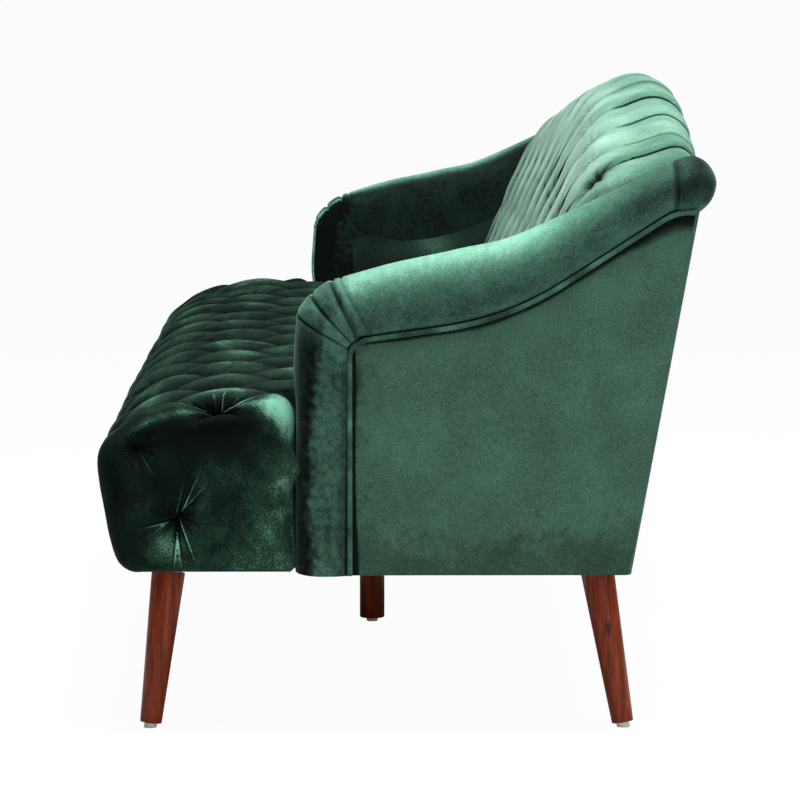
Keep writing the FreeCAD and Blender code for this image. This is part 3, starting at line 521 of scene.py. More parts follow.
# One cross section: y, z, normal y, normal z, tuft row, strength of the tufting
def seatSection(kind):
    s = seat
    rows = []

    def add(y, z, ny, nz, row=None, strength=0):
        rows.append((y, z, ny, nz, row, strength))

    def tuftRow(y):
        return (s["rowStart"] - y) / tufts["rowSpacing"]

    if kind == "outer":  # bottom of the tongue's end
        for y in spread(s["tongueRear"] - s["hem"], s["railFront"], 30)[:-1]:
            add(y, underside, 0, -1)
    else:
        for z in spread(underside + s["lip"], underside, 30)[:-1]:
            add(s["railFront"], z, 0, -1)
    edgeY = s["tongueRear"] - s["tongueRound"]
    front = throughPoints(s["nose"], s["noseSteps"])
    reach = s["rowStart"] - s["nose"][-1][0]
    lengths = [reach]
    for here, after in zip(reversed(front[:-1]), reversed(front[1:])):
        reach += dist(here, after)
        lengths.insert(0, reach)
    for k, (y, z) in enumerate(front):
        along = heading(front, k)
        add(y, z, -along.y, along.x, lengths[k] / tufts["rowSpacing"], fadeIn(222, 275, z))
    for y in spread(s["nose"][-1][0], edgeY, 24)[1:-1]:
        add(y, s["top"], 0, 1, tuftRow(y), 1)
    if kind == "inner":
        for y in spread(edgeY, s["rear"], 60):
            add(y, s["top"], 0, 1, tuftRow(y), 1)
        for z in spread(s["top"] - 10, s["top"] - s["thickness"], 3):
            add(s["rear"], z, 0, 1)
        for y, z in s["lining"]:
            add(y, z, 0, 1)
    else:
        for turn in spread(0, pi / 2, 12)[:-1]:
            y = edgeY + s["tongueRound"] * sin(turn)
            add(y, s["top"] - s["tongueRound"] * (1 - cos(turn)), sin(turn), cos(turn),
                tuftRow(edgeY + s["tongueRound"] * turn), cos(turn))
        for z in spread(s["top"] - s["tongueRound"], underside + s["hem"], 48):
            add(s["tongueRear"], z, 1, 0)
        for _ in range(13):  # as many points as the inner section has
            add(s["tongueRear"] - s["hem"], underside, 1, -1)
    rows.append(rows[0])
    return rows


# Columns from the right end to the left: section, side, x, turn of the rim, share of the way in
def seatColumns():
    s = seat
    straight = s["half"] - s["endRound"]
    end = [("outer", straight, turn, 0) for turn in spread(0, pi / 2, 16)]
    end += [("outer", straight, pi / 2, share) for share in spread(0, 1, 44)[1:]]
    side = [("mid", x, 0, 0) for x in spread(s["innerHalf"] + 0.2, s["railHalf"] - 0.2, 12)]
    side += [("outer", x, 0, 0) for x in spread(s["railHalf"] + 0.2, straight, 4)[:-1]]
    left = [(kind, 1, x, turn, share) for kind, x, turn, share in side + end]
    right = [(kind, -1, x, turn, share) for kind, x, turn, share in reversed(side + end)]
    xs = spread(-s["innerHalf"], s["innerHalf"], 340)
    inner = [("inner", 1 if x > 0 else -1, abs(x), 0, 0) for x in xs]
    return right + inner + left


# Pits, gathers, and painted light and shade on the seat's end
def endRelief(y, z):
    level, foldShade, layAndPaintedLight = 0, 0, 0
    for pitY, pitZ, depth, reach in endPits:
        d = hypot(y - pitY, z - pitZ)
        level -= depth * exp(-(d / reach) ** 1.25)
        # painted shade in each pit
        foldShade = max(foldShade, bell(d, 9))
        turn = atan2(z - pitZ, y - pitY)
        level += 1.2 * cos(11 * turn + pitY) * bell(d - 20, 12)
    for midY, midZ, width, height, amount in endPaintedLight:
        layAndPaintedLight += amount * bell(y - midY, width) * bell(z - midZ, height)
    lit = y + 199 - (452 - z) * 0.55 + 5 * wander(y, z, 16, 33)  # a lit facet at the upper rear
    layAndPaintedLight += 0.26 * fadeIn(0, 22, lit) * fadeIn(350, 440, z)
    return level, foldShade, layAndPaintedLight


# The signed way to the nearest crease, and its force there
def nearestCrease(u, v, creases):
    best, force = 99, 0
    for (au, av), (bu, bv), pull in creases:
        run = Vector((bu - au, bv - av))
        along = ((u - au) * run.x + (v - av) * run.y) / run.length_squared
        across = ((v - av) * run.x - (u - au) * run.y) / run.length
        if 0 <= along <= 1 and abs(across) < abs(best):
            best = copysign(across, across * pull)
            force = abs(pull) * (1 - along ** 2) * fadeOut(4.5, 7, abs(across))
    return best, force


# Paints light and shade on the seat's end and says how far its cover stands out there
def paintEnd(paint, y, z, turn, share, sectionZ, atRear, swell):
    endLevel, endPitShade, endLight = endRelief(y, z)
    crown = seat["endCrown"] * fadeIn(0, 0.6, share) + 2.5 * wander(y, z, 70, 4)
    reachIn = fadeIn(0.4, 1.3, turn)
    onRim = bell(turn - 0.8, 0.14) * (share == 0)
    # a painted highlight along the rim
    paint["layAndPaintedLight"] += 0.16 * onRim * fadeIn(395, 430, sectionZ)
    paint["foldShade"] = max(paint["foldShade"], endPitShade * reachIn)
    if turn > 0.9:
        if paint["drawn"] < 0.4:
            pit = min(endPits, key=lambda spot: hypot(y - spot[0], z - spot[1]))
            paint["aimX"], paint["aimY"] = y - pit[0], z - pit[1]
            paint["drawn"] = fadeIn(0.95, 1.25, turn)
        # painted shade on the upper end face below the rim
        dark = -0.26 * fadeIn(0.95, 1.15, turn) * fadeIn(395, 420, z)
        paint["layAndPaintedLight"] += dark * fadeOut(-205, -185, y)
        if turn > 1.2:
            paint["gap"], paint["pull"] = nearestCrease(y, z, endCreases)
    paintedLightPart = max(reachIn, fadeIn(0.04, 0.4, turn) * atRear)
    paint["layAndPaintedLight"] += paintedLightPart * (endLight + 0.07 * wander(y, z, 45, 21))
    # painted highlights on the rounded rear edge and on the bulge
    rearEdge = 0.10 * atRear * bell(turn - 0.5, 0.22)
    bulge = 0.09 * swell * fadeIn(0.3, 0.9, turn) * fadeOut(0, 0.22, share)
    paint["layAndPaintedLight"] += rearEdge + bulge
    return reachIn * (endLevel + crown)


def makeSeat():
    s = seat
    sections = {kind: seatSection(kind) for kind in ("inner", "mid", "outer")}
    columns = seatColumns()
    spineFront, spineRear, spineZ = s["spine"]
    middleY, middleZ = s["endMiddle"]

    def placeAt(i, j):
        kind, side, x, turn, share = columns[i]
        y, z, ny, nz, row, strength = sections[kind][j]
        soft = (3 + 8 * fadeIn(450, 880, x)) * fadeIn(375, 425, z)  # a rounder shoulder toward the ends
        soft *= fadeOut(-310, -215, y)
        y, z = y - ny * soft, z - nz * soft
        spineY = min(max(y, spineFront), spineRear)
        reach = hypot(y - spineY, z - spineZ)
        inward = ((spineY - y) / reach, (spineZ - z) / reach)
        rounding = s["endHem"] + (s["endRound"] - s["endHem"]) * fadeIn(underside, 280, z)
        atRear = fadeIn(-190, -150, y)
        swell = atRear * bell(z - 362, 26)  # the end bulges over the arm's front
        inset = (rounding - 20 * swell) * (1 - cos(turn))
        py, pz = y + inward[0] * inset, z + inward[1] * inset
        py, pz = py + (middleY - py) * share, pz + (middleZ - pz) * share
        py += s["bulge"] * swell * fadeIn(0.45, 1, turn) * fadeOut(0, 0.4, share)
        px = x + s["endRound"] * sin(turn)
        normal = Vector((sin(turn), ny * cos(turn), nz * cos(turn)))
        arc = x + s["endRound"] * turn
        level, paint = tuftRelief(side * arc, -4 if row is None else row, seatTufts)
        fade = 0 if row is None else strength * fadeOut(0.95, 1.5, turn) * (share == 0)
        if fade > 0:
            fade *= 1 - fadeIn(815, 868, arc) * fadeIn(0.25, 0.7, row)
            paint["layAndPaintedLight"] += 0.12 * wander(side * arc, row * 100, 60, 13) + 0.06 * fadeIn(760, 850, arc)
        if turn > 0.6 and fade < 0.4:
            paint["drawn"] = 0
        if row is not None and arc > 820 and abs(row) < 0.9:
            paint["gap"], paint["pull"] = nearestCrease(arc - 900, row * 100, rimCreases)
        level *= fade
        for key in ("foldShade", "forceP", "forceQ", "layAndPaintedLight", "drawn"):
            paint[key] *= fade
        if turn > 0:
            px += paintEnd(paint, py, pz, turn, share, z, atRear, swell)
        if normal.length > 0:
            normal.normalize()
        return (side * (px + normal.x * level), py + normal.y * level, pz + normal.z * level), paint

    piece = gridPiece("seatPad", len(columns) - 1, len(sections["inner"]) - 1, placeAt)
    dress(piece, seatVelvet, "green_velvet", "seat_pad")
    print("seat tufted")


# The back: a leaning tufted pad with a humped crest that rolls over to the rear
back = dict(
    half=797, halfLength=915, footY=118, footZ=430, lean=tan(radians(22.3)),
    rowHeights=(540, 634, 726), rowLifts=(0.15, 0.42, 0.85), shoulder=14, endHeight=764,
    rise=80, rear=411, crestY=370, rollDrop=34, rollHeight=72, rearFoot=299.5,
    rake=tan(radians(10.2)), endRound=60, endDrop=24, padding=46,
)
backTufts = dict(
    drift=5, seed=11, firstRow=0, lastRow=2, roundness=0.42, depth=36, pleat=8.5,
    pitReach=24, groove=3, grooveWidth=4.6, grooveNear=50, gather=2.4, uneven=1,
    taut=0.93, slack=0.2, puffHighlight=0.10, step=3.6, arcStep=4.4, arcs=0.95,
    pulls=[0.7, 0.45, 1, 0.8, 0.45, 1], arcPulls=[0.8, 0.75, 1, 0.75, 0.9, 0.8],
    shallowRow=2, core=25, bend=48,
)


def rearY(z):
    return back["rearFoot"] + (z - underside) * back["rake"]


def crestHeight(x):
    return back["endHeight"] + back["rise"] * 0.5 * (1 + cos(pi * x / back["halfLength"]))


# Points y, z, tuft row over the front and the crest, then y, z of the hidden inside
def backProfile(x):
    b = back
    crest = crestHeight(x)
    lift = crest - b["endHeight"]
    rear = b["rear"] - 9 * fadeIn(250, 780, abs(x))
    points = [(b["footY"], b["footZ"], -1.1)]
    for number, (height, share) in enumerate(zip(b["rowHeights"], b["rowLifts"])):
        z = height + share * lift
        y = b["footY"] + (z - b["footZ"]) * b["lean"] + (b["shoulder"] if number == 2 else 0)
        points.append((y - 4, z + 2, float(number)))
    hem = crest - b["rollHeight"]
    points += [(b["crestY"] - 42, crest - 11, 2.7), (b["crestY"], crest, 3.2), (rear - 8, crest - 16, 3.5),
               (rear, crest - b["rollDrop"] - 8, 3.8), (rearY(hem) + 1, hem, 4.3)]
    path = throughPoints(points, (26, 26, 26, 22, 12, 8, 8, 10))
    board = rearY(crest - 55)
    inner = [(rearY(hem) - 6, hem), (board - 6, crest - 56), (board - 34, crest - 56),
             (b["footY"] + 250 * b["lean"] + b["padding"], 680), (b["footY"] + b["padding"], b["footZ"])]
    return path, inner


def makeBack():
    b = back
    xs = spread(-b["half"], b["half"], 540)
    profiles = [backProfile(x) for x in xs]
    seen = len(profiles[0][0])

    def placeAt(i, j):
        x = xs[i]
        path, inner = profiles[i]
        if j >= seen:
            hidden = (inner + [path[0][:2]])[j - seen]
            return (x, hidden[0], hidden[1]), {}
        y, z, row = path[j]
        along = heading(path, j)
        level, paint = tuftRelief(x, row, backTufts)
        ease = fadeOut(3.7, 4.3, row)
        level *= 0.3 + 0.7 * ease
        past = max(abs(x) - (b["half"] - b["endRound"]), 0) / b["endRound"]
        level -= b["endDrop"] * (1 - sqrt(max(1 - past * past, 0))) * fadeIn(1.4, 2.4, row) * ease
        # painted light and shade: lighter over the middle of the front, darker at the foot, from the top row
        # over the crest and toward the ends, with random tone
        paint["layAndPaintedLight"] += 0.10 - 0.24 * fadeIn(1.9, 2.9, row) - 0.06 * fadeOut(-0.6, 0.8, row)
        paint["layAndPaintedLight"] += 0.14 * wander(x, z, 70, 17) - 0.13 * fadeIn(560, 760, abs(x))
        if abs(x) > 690 and row > 1.4:  # the end stitches are pulled hardest, and their painted shade is deepened
            paint["foldShade"] = min(1.7 * paint["foldShade"], 1)
        if paint["drawn"] > 0.5:  # painted shade round a deep stitch
            away = hypot(paint["aimX"], paint["aimY"])
            paint["layAndPaintedLight"] -= 0.34 * paint["drawn"] * exp(-away ** 2 / 1300)
        paint["forceP"] *= ease
        paint["forceQ"] *= ease
        return (x, y - along.y * level, z + along.x * level), paint

    piece = gridPiece("backPad", len(xs) - 1, seen + 5, placeAt)
    closeEnds(piece)
    dress(piece, backVelvet, "green_velvet", "back_pad")
    print("back tufted")


# The arm: a welt line carries a padded roll on its outside and a taut panel inside it
arm = dict(
    outer=918, inner=800, frontY=-144, weltY=-72, weltZ=528,
    corner=22, bendY=136, bendZ=557, bendBefore=87.8, bendAfter=74.4,
    rearY=352, rearZ=697, rearBend=15, weltEnd=381, panelEnd=385, capSeam=354.6,
    pleatReach=106, pleatAngles=(30, 47, 64), panelX=906.5, bulge=0.46, tuck=12,
    tuckAngle=75, innerHem=311.5,
    tuckEnd=0.22, insideStart=0.86,  # where the way round the roll leaves the tuck and turns down inside
    stations=(120, 16, 16),  # up the front, then between the pleats
    crown=[(-96.5, 602), (-15, 626.5), (70, 644.5), (136, 659.5), (217, 694), (296, 732),
           (354.6, 758.5)],
    crownSteps=(22, 18, 14, 16, 16, 12),
)
# tone shifts a welt's green: the front welt is painted lighter as a painted highlight along it
frontWelt = dict(first=82, last=153, at=0.70, radius=2.5, sides=12, tone=0.24)
topWelt = dict(inset=0.6, out=3.4, radius=3.5, sides=14, tone=-0.05)


# A quadratic through both tangents, which stands in for an arc
def bendAt(start, corner, end, share):
    return start * (1 - share) ** 2 + 2 * corner * share * (1 - share) + end * share ** 2


def weltHeight(y):
    a = arm
    low = (a["bendZ"] - a["weltZ"]) / (a["bendY"] - a["weltY"])
    high = (a["rearZ"] - a["bendZ"]) / (a["rearY"] - a["bendY"])
    start, end = a["bendY"] - a["bendBefore"], a["bendY"] + a["bendAfter"]
    if y <= start:
        return a["weltZ"] + (y - a["weltY"]) * low
    if y <= end:
        share = (y - start) / (end - start)
        for _ in range(3):
            share -= (bendAt(start, a["bendY"], end, share) - y) / (end - start)
        lowZ, highZ = a["bendZ"] - a["bendBefore"] * low, a["bendZ"] + a["bendAfter"] * high
        return bendAt(lowZ, a["bendZ"], highZ, share)
    if y <= a["rearY"] - a["rearBend"]:
        return a["bendZ"] + (y - a["bendY"]) * high
    share = min((y - a["rearY"] + a["rearBend"]) / 32, 1)
    return bendAt(a["rearZ"] - a["rearBend"] * high, a["rearZ"], a["rearZ"], share)


def weltLine(inset):
    a = arm
    radius = a["corner"] - inset
    path = [(a["weltY"] + inset, z) for z in spread(underside, a["weltZ"] - a["corner"], 30)[:-1]]
    centre = (a["weltY"] + a["corner"], a["weltZ"] - a["corner"] + 1)
    for turn in spread(pi, pi * 0.545, 10)[:-1]:
        path.append((centre[0] + radius * cos(turn), centre[1] + radius * sin(turn)))
    for y in spread(a["weltY"] + a["corner"], a["weltEnd"], 90):
        path.append((y, weltHeight(y) - inset))
    return path


def pleatEnds(angle):
    a = arm
    turn = radians(angle)
    centre = (a["weltY"] + a["corner"], a["weltZ"] - a["corner"])
    out = (-cos(turn), sin(turn))
    reach = min(a["pleatReach"], (centre[0] - a["frontY"]) / cos(turn))
    root = (centre[0] + out[0] * a["corner"], centre[1] + out[1] * a["corner"])
    return root, (centre[0] + out[0] * reach, centre[1] + out[1] * reach)


# Stations along the roll: root, tip, squareness, distance to a pleat, puff, front
def rollStations():
    a = arm
    stations = []
    keys = [((a["weltY"], underside), (a["frontY"], underside))]
    keys += [pleatEnds(angle) for angle in a["pleatAngles"]]
    for number, count in enumerate(a["stations"]):
        (startRoot, startTip), (endRoot, endTip) = keys[number:number + 2]
        length = dist(startTip, endTip)
        for k in range(count):
            t = k / count
            root = [p + (q - p) * t for p, q in zip(startRoot, endRoot)]
            tip = [p + (q - p) * t for p, q in zip(startTip, endTip)]
            fromPleat, puff = (1 - t) * length, 0
            if number > 0:
                fromPleat, puff = min(t, 1 - t) * length, sin(pi * t)
            stations.append((root, tip, 1, fromPleat, puff, 1))
    crown = throughPoints(a["crown"], a["crownSteps"])
    firstRoot = keys[-1][0]
    for k, tip in enumerate(crown):
        share = k / (len(crown) - 1)
        y = firstRoot[0] + (a["capSeam"] - firstRoot[0]) * share
        y = y + (tip[0] - y) * fadeIn(0, 0.5, share)
        root = firstRoot if k == 0 else (y, weltHeight(y))
        fromPleat = dist(tip, crown[0])
        if bell(fromPleat - 13, 2.2) >= 0.3:  # the second tuck beside the last pleat
            fromPleat = 2
        front = fadeOut(0, 0.08, share)
        stations.append((root, tip, fadeOut(0, 0.22, share), fromPleat, 0, front))
    return stations


# A point of the roll at t, which runs from the welt over the outside and the top to the inside
def rollPoint(station, t):
    a = arm
    root, tip, square, fromPleat, puff, front = station
    height = dist(root, tip)
    out = ((tip[0] - root[0]) / height, (tip[1] - root[1]) / height)
    middle = (a["outer"] + a["inner"]) / 2
    half = (a["outer"] - a["inner"]) / 2
    low = a["bulge"] * height
    innerLow = (height - 24) * square + 0.45 * height * (1 - square)
    tuckEnd, insideStart = a["tuckEnd"], a["insideStart"]
    if t < tuckEnd:  # tucked under to the welt
        turn = radians(-a["tuckAngle"] + a["tuckAngle"] * t / tuckEnd)
        x = a["outer"] - 2 * a["tuck"] * (1 - cos(turn)) * 0.68
        lift = low * (1 + sin(turn) / sin(radians(a["tuckAngle"]))) - 2 * (1 - t / tuckEnd)
    elif t < insideStart:  # over the top
        turn = pi * (t - tuckEnd) / (insideStart - tuckEnd)
        c, s = cos(turn), sin(turn)
        if c >= 0:
            x, lift = middle + half * c ** 0.88, low + (height - low) * s ** 0.92
        else:
            power = 0.9 - 0.5 * square
            x, lift = middle - half * abs(c) ** power, innerLow + (height - innerLow) * s ** power
    else:  # down the inside
        share = (t - insideStart) / (1 - insideStart)
        x, lift = a["inner"] + 5 * share ** 2, innerLow + (-40 * (1 - square) - 4 - innerLow) * share
    crease = bell(fromPleat, 2.4) * fadeIn(0.02, 0.10, t) * fadeOut(0.66, 0.8, t)
    shape = sin(pi * min(max((t - 0.05) / 0.7, 0), 1))
    rise = 2.5 * puff * shape - 4.5 * crease + 1.2 * wander(tip[0] + t * 60, tip[1], 80, 2) * shape
    # the inner edge leans out over the seat
    lean = fadeIn(436, 478, tip[1]) * fadeOut(480, 565, tip[1]) * front
    rise += 4.5 * lean * fadeIn(0.44, 0.64, t) * fadeOut(0.78, 0.86, t)
    if t < 0.54:
        x += (1.6 * puff - 3.2 * crease) * shape + 1.2 * wander(tip[0], tip[1] + t * 90, 70, 5) * shape
    return (x, root[0] + out[0] * (lift + rise), root[1] + out[1] * (lift + rise)), crease


def rollPaintedLight(t, station, y, z):
    root, front = station[0], station[5]
    rough = wander(y, z, 8, 71) + 0.8 * wander(y, z, 42, 73)
    # painted light on the upper roll and painted shade low by the tuck, both weaker at the front and toward
    # the rear, which is painted darker
    layAndPaintedLight = 0.34 * fadeIn(0.24, 0.46, t) - 0.10 * bell(t - 0.15, 0.08)
    layAndPaintedLight *= (1 - 0.75 * front) * (1 - 0.6 * fadeIn(150, 300, y)) * fadeOut(0.52, 0.72, t)
    layAndPaintedLight -= 0.20 * fadeIn(170, 320, y) * fadeIn(0.1, 0.3, t)
    # the front of the arm: painted light along its middle, painted shade ahead and beside the welt
    out = dist((y, z), root)
    low = fadeOut(470, 535, z)
    layAndPaintedLight -= front * low * (0.08 + 0.10 * fadeOut(11, 19, out))
    edge = 48 + 5 * rough - 6 * fadeOut(235, 300, z) - 5 * fadeIn(420, 480, z)
    ahead = fadeIn(edge, edge + 15, out)
    layAndPaintedLight -= 0.46 * front * ahead * (1 - 0.75 * fadeIn(510, 560, z))
    layAndPaintedLight -= 0.4 * fadeIn(0.58, 0.7, t)  # painted shade on the inside of the arm
    return layAndPaintedLight + (0.06 + 0.05 * front) * rough


def makeArmRoll():
    stations = rollStations()
    around = 90

    def placeAt(i, j):
        t = j / around
        (x, y, z), crease = rollPoint(stations[i], t)
        # painted shade in the creases, beside the welt and at the cap seam
        seamShade = fadeOut(5.2, 7.2, dist((y, z), stations[i][0])) * (t < arm["tuckEnd"])
        if i > len(stations) - 3:
            seamShade = max(seamShade, 0.6)
        return (x, y, z), {"foldShade": max(0.85 * crease, seamShade), "layAndPaintedLight": rollPaintedLight(t, stations[i], y, z)}

    left = gridPiece("armRollLeft", len(stations) - 1, around, placeAt)
    thicken(left, 4, -1)
    dressPair(left, rollVelvet, "arm_roll")
    print("arm rolls padded")


# A point inside the welt line at u from the front and v from the underside
def panelPoint(u, v, inset):
    a = arm
    front = a["weltY"] + inset
    corner = a["weltY"] + a["corner"]
    y = front + (a["panelEnd"] - front) * u
    for _ in range(3):
        top = weltHeight(max(y, corner)) - inset
        if y < corner:
            radius = a["corner"] - inset
            top -= radius - sqrt(max(radius ** 2 - (corner - y) ** 2, 0))
        z = underside + (top - underside) * v
        y = front + (rearY(z) - inset * 0.2 - front) * u
    return y, z


def makeArmPanels():
    a = arm
    length, height, rearRound = 460, 300, 12  # rough sizes, for the way to an edge

    def outside(u, v):
        u, v = u ** 1.35, 1 - (1 - v) ** 1.35  # finer beside the welt
        y, z = panelPoint(u, v, 0.5)
        fromFront, fromTop, fromRear = u * length, (1 - v) * height, (1 - u) * 440
        x = a["panelX"] + 1.6 * fadeIn(0, 60, min(fromFront, fromTop, v * height))
        if fromRear < rearRound:
            x -= rearRound - sqrt(max(rearRound ** 2 - (rearRound - fromRear) ** 2, 0))
        x += 0.7 * wander(y, z, 120, 8)
        pucker = bell(fromTop, 24)
        x += 0.5 * pucker * sin(y / 9 + 2 * wander(y, z, 60, 1))
        rough = wander(y, z, 9, 41) + wander(y, z, 26, 43)
        slow = wander(y, z, 70, 43)
        low = fadeOut(230, 330, z)
        atRear = fadeIn(265, 345, y)
        # painted shadow along the welt, under the roll and down the front, wider low down and at the rear
        border = max(fadeOut(6.5 + 3.5 * low, 11.5 + 2.5 * slow + 5 * low, fromFront),
                     0.9 * fadeOut(5, 10 + 4 * slow + 7 * atRear, fromTop))
        # painted shade under the welt's front corner
        corner = bell(fromFront - 8, 13) * bell(z - 480, 24)
        # darker toward the bottom and the front edge, in ragged patches
        nearBottomAndFront = bell(v * height, 55) + 0.5 * bell(fromFront, 50)
        darkerLowAndFront = fadeIn(0.3, 0.9, nearBottomAndFront + 0.4 * rough)
        layAndPaintedLight = -0.5 * border - 0.16 * darkerLowAndFront - 0.22 * corner + 0.06 * wander(y, z, 90, 45)
        return (x, y, z), {"foldShade": 0.85 * border, "layAndPaintedLight": layAndPaintedLight}

    def inside(u, v):
        y, z = panelPoint(u * 0.93, v, -12)
        z = max(z, a["innerHem"])
        edge = min(u * 420, (1 - v) * height)
        x = a["inner"] + 3.5 - 5 * fadeIn(0, 70, edge) + 1.2 * wander(y, z, 110, 6)
        # painted shade over the inside pad, with a painted patch of light on it
        patch = bell(y - 70, 42) * bell(z - 520, 34)
        return (x, y, z), {"layAndPaintedLight": -0.36 + 0.33 * patch + 0.12 * wander(y, z, 60, 51)}

    dressPair(coverPiece("armOutsideLeft", 160, 120, outside, 4, -1), panelVelvet, "arm_outside_panel")
    dressPair(coverPiece("armInsideLeft", 160, 120, inside, 12, 1), rollVelvet, "arm_inside_pad")
    print("arm panels stretched")


# A welt: covered cord that follows a sewn edge, a little uneven where the cover gathers
def weltPiece(name, path, welt):
    line = [(y, z) for x, y, z in path]

    def placeAt(i, j):
        x, y, z = path[i]
        along = heading(line, i)
        turn = 2 * pi * j / welt["sides"]
        size = welt["radius"] * (1 + 0.06 * wander(y, z, 14, 3))
        outward = size * cos(turn)
        layAndPaintedLight = welt["tone"] + 0.25 * wander(y, z, 24, 5)
        return (x + size * sin(turn), y - along.y * outward, z + along.x * outward), {"layAndPaintedLight": layAndPaintedLight}

    piece = gridPiece(name, len(path) - 1, welt["sides"], placeAt)
    closeEnds(piece)
    return piece


def makeWelts():
    line = [(arm["panelX"] + topWelt["out"], y, z) for y, z in weltLine(topWelt["inset"])]
    dressPair(weltPiece("armWeltLeft", line, topWelt), rollVelvet, "arm_welt")
    edge = []
    for station in rollStations()[frontWelt["first"]:frontWelt["last"]]:
        x, y, z = rollPoint(station, frontWelt["at"])[0]
        edge.append((x - 0.8, y - 0.6, z + 0.3))
    dressPair(weltPiece("armFrontWeltLeft", edge, frontWelt), rollVelvet, "arm_front_welt")
    print("welts sewn")


# The end of the back's top roll, gathered to a rounded cap behind the arm
cap = dict(
    seam=351.5, reach=33, centre=(360, 724),
    outline=[(351.5, 686), (351.5, 722), (351.5, 756.5), (377, 767), (397, 758.5), (409, 737),
             (405, 714), (391, 697), (372, 686), (351.5, 686)],
    outlineSteps=(6, 6, 10, 8, 8, 8, 8, 6, 6),
)


def makeEndCaps():
    c = cap
    outline = throughPoints(c["outline"], c["outlineSteps"])
    centre = c["centre"]
    middle, half = (arm["inner"] + arm["outer"]) / 2, (arm["outer"] - arm["inner"]) / 2
    turns = spread(0, pi, 40)

    def placeAt(i, j):
        turn = turns[i]
        y, z = outline[j]
        reach = dist((y, z), centre)
        side = cos(turn)
        x = middle + half * copysign(abs(side) ** 0.88, side)
        inset = (1 - sin(turn) ** 0.92) * min(reach, c["reach"])
        keep = 1 - inset / reach
        py, pz = centre[0] + (y - centre[0]) * keep, centre[1] + (z - centre[1]) * keep
        # painted shade at the seam and over the cap, a little lighter on its lower part
        atSeam = bell(py - c["seam"] - 3, 2.5)
        layAndPaintedLight = -0.28 + 0.26 * wander(py, pz, 22, 61) + 0.16 * fadeOut(700, 725, pz)
        return (x, py, pz), {"foldShade": 0.45 * atSeam, "layAndPaintedLight": layAndPaintedLight}

    left = gridPiece("backEndCapLeft", len(turns) - 1, len(outline) - 1, placeAt)
    closeEnds(left)
    dressPair(left, rollVelvet, "back_end_cap")
    print("end caps rounded")


# The outside back, a cover pulled flat over a board and sewn under the crest roll
outsideBack = dict(half=904, height=420, endRise=28)


def makeOutsideBack():
    o = outsideBack
    length = 2 * o["half"]

    def placeAt(u, v):
        x = -o["half"] + length * u
        top = crestHeight(x) - back["rollHeight"] - 0.8 + o["endRise"] * fadeIn(778, 794, abs(x))
        z = underside + (top - underside) * v
        edge = min(u * length, (1 - u) * length, v * o["height"], (1 - v) * o["height"])
        y = rearY(z) - 2.2 + 2.2 * fadeIn(0, 50, edge) + 0.6 * wander(x, z, 140, 9)
        return (x, y, z), {"layAndPaintedLight": 0.05 * wander(x, z, 90, 47)}

    piece = coverPiece("outsideBack", 150, 60, placeAt, 4, -1)
    dress(piece, panelVelvet, "green_velvet", "back_outside_panel")
    print("outside back stretched")


# Legs: turned tapers with softened ends, screwed up at a slant
legs = {  # top, foot, top width, foot width
    "Front": ((800, -315, 208), (822, -339, 6), 45, 29),
    "Rear": ((800, 260, 208), (822, 294, 6), 45, 29),
    "Centre": ((0, -42, 208), (0, -42, 6), 38, 38),
}


def makeLegs():
    for kind, (top, foot, topWidth, footWidth) in legs.items():
        for side, sign in (("Left", 1), ("Right", -1)) if top[0] else (("", 1),):
            start, end = (Vector((sign * x, y, z)) * mm for x, y, z in (foot, top))
            axis = end - start
            deselectAll()
            bpy.ops.mesh.primitive_cone_add(
                vertices=64, radius1=footWidth / 2 * mm, radius2=topWidth / 2 * mm, depth=axis.length,
                location=(start + end) / 2, rotation=axis.to_track_quat("Z", "Y").to_euler())
            leg = bpy.context.object
            leg.name = "leg" + kind + side
            bpy.ops.object.transform_apply(location=True, rotation=True, scale=True)
            applyModifier(leg, "BEVEL", {"width": 0.0016, "segments": 3, "limit_method": "ANGLE"})
            bpy.ops.object.shade_smooth_by_angle(angle=radians(40))
            dress(leg, legWood, "stained_leg_wood", (kind + "_leg_" + side).lower().strip("_"))
    print("legs turned")


# The dust cover, a black cloth stretched under the rails
dustCover = dict(length=1696, depth=631.5, front=-342.5, height=219.6, sag=1.4)


def makeDustCover():
    d = dustCover

    def placeAt(u, v):
        x, y = -d["length"] / 2 + d["length"] * u, d["front"] + d["depth"] * v
        sag = d["sag"] * sin(pi * u) * sin(pi * v)
        return (x, y, d["height"] - 0.3 * sag), {}

    piece = coverPiece("dustCover", 80, 40, placeAt, 0.6, 0)
    dress(piece, cambric, "cambric", "dust_cover")
    print("dust cover tacked")


makeSeat()
makeBack()
makeArmRoll()
makeArmPanels()
makeWelts()
makeEndCaps()
makeOutsideBack()
makeLegs()
makeDustCover()


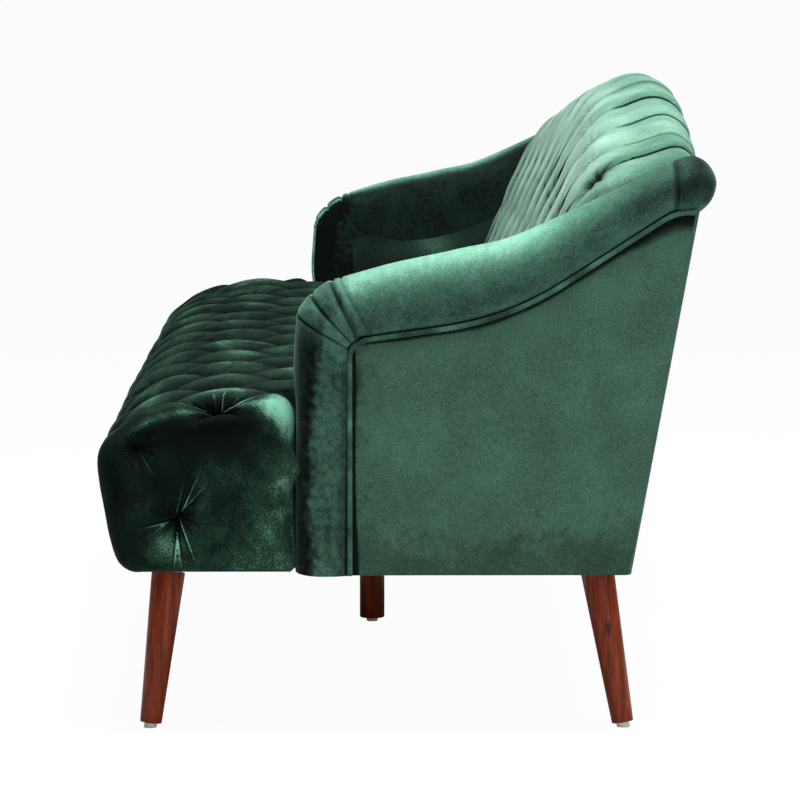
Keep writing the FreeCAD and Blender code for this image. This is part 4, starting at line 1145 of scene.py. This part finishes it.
# Studio: pale floor, broad soft lamps, and a long lens level with the arm
studio = dict(
    eye=(6.047, -0.0423, 1.062), aim=(0.915, -0.0055, 0.4522), lens=178.2,
    lamps=[  # name, place, aim, size, power
        ("overhead", (0.9, 0.3, 3), (0.5, 0.1, 0.5), 2.4, 220),
        ("behind", (-2.6, 0.4, 2.6), (0, 0.1, 0.5), 2, 25),
        ("besideCamera", (4.8, 1.8, 1.3), (0.6, 0, 0.45), 2.2, 52),
    ],
    world=0.22, floorGlow=0.96, white=(1, 1, 1, 1),
)


def turnTo(aim, place):
    return (Vector(aim) - Vector(place)).to_track_quat("-Z", "Y").to_euler()


def makeStudio():
    deselectAll()
    bpy.ops.mesh.primitive_plane_add(size=240, location=(0, 0, 0))
    floor = bpy.context.object
    floor.name = "floor"
    material, tree, shader = newMaterial("pale studio floor", {
        "Roughness": 0.9, "Base Color": hexColour("e9e9e7")})[:3]
    glow = addNode(tree, "Emission", {"Color": studio["white"], "Strength": 1})
    rays = addNode(tree, "LightPath")
    share = addMath(tree, "MULTIPLY", rays.outputs["Is Camera Ray"], studio["floorGlow"])
    mixed = addNode(tree, "MixShader", {0: share, 1: shader.outputs["BSDF"], 2: glow.outputs["Emission"]})
    tree.links.new(mixed.outputs["Shader"], tree.nodes["Material Output"].inputs["Surface"])
    floor.data.materials.append(material)
    for name, place, aim, size, power in studio["lamps"]:
        bpy.ops.object.light_add(type="AREA", location=place)
        lamp = bpy.context.object
        lamp.name = name
        lamp.data.size = size
        lamp.data.energy = power
        lamp.rotation_euler = turnTo(aim, place)
    scene = bpy.context.scene
    world = scene.world or bpy.data.worlds.new("studio")
    scene.world = world
    world.use_nodes = True
    tree = world.node_tree
    tree.nodes.clear()
    rays = addNode(tree, "LightPath")
    dim = studio["world"]
    level = addMath(tree, "MULTIPLY_ADD", rays.outputs["Is Camera Ray"], 1 - dim, dim)
    sky = addNode(tree, "Background", {"Color": studio["white"], "Strength": level})
    addNode(tree, "OutputWorld", {"Surface": sky.outputs["Background"]})
    bpy.ops.object.camera_add(location=studio["eye"])
    camera = bpy.context.object
    camera.rotation_euler = turnTo(studio["aim"], studio["eye"])
    camera.data.lens = studio["lens"]
    camera.data.sensor_width = 36
    camera.data.clip_end = 400
    scene.camera = camera
    scene.view_settings.view_transform = "Standard"
    print("studio set")


makeStudio()
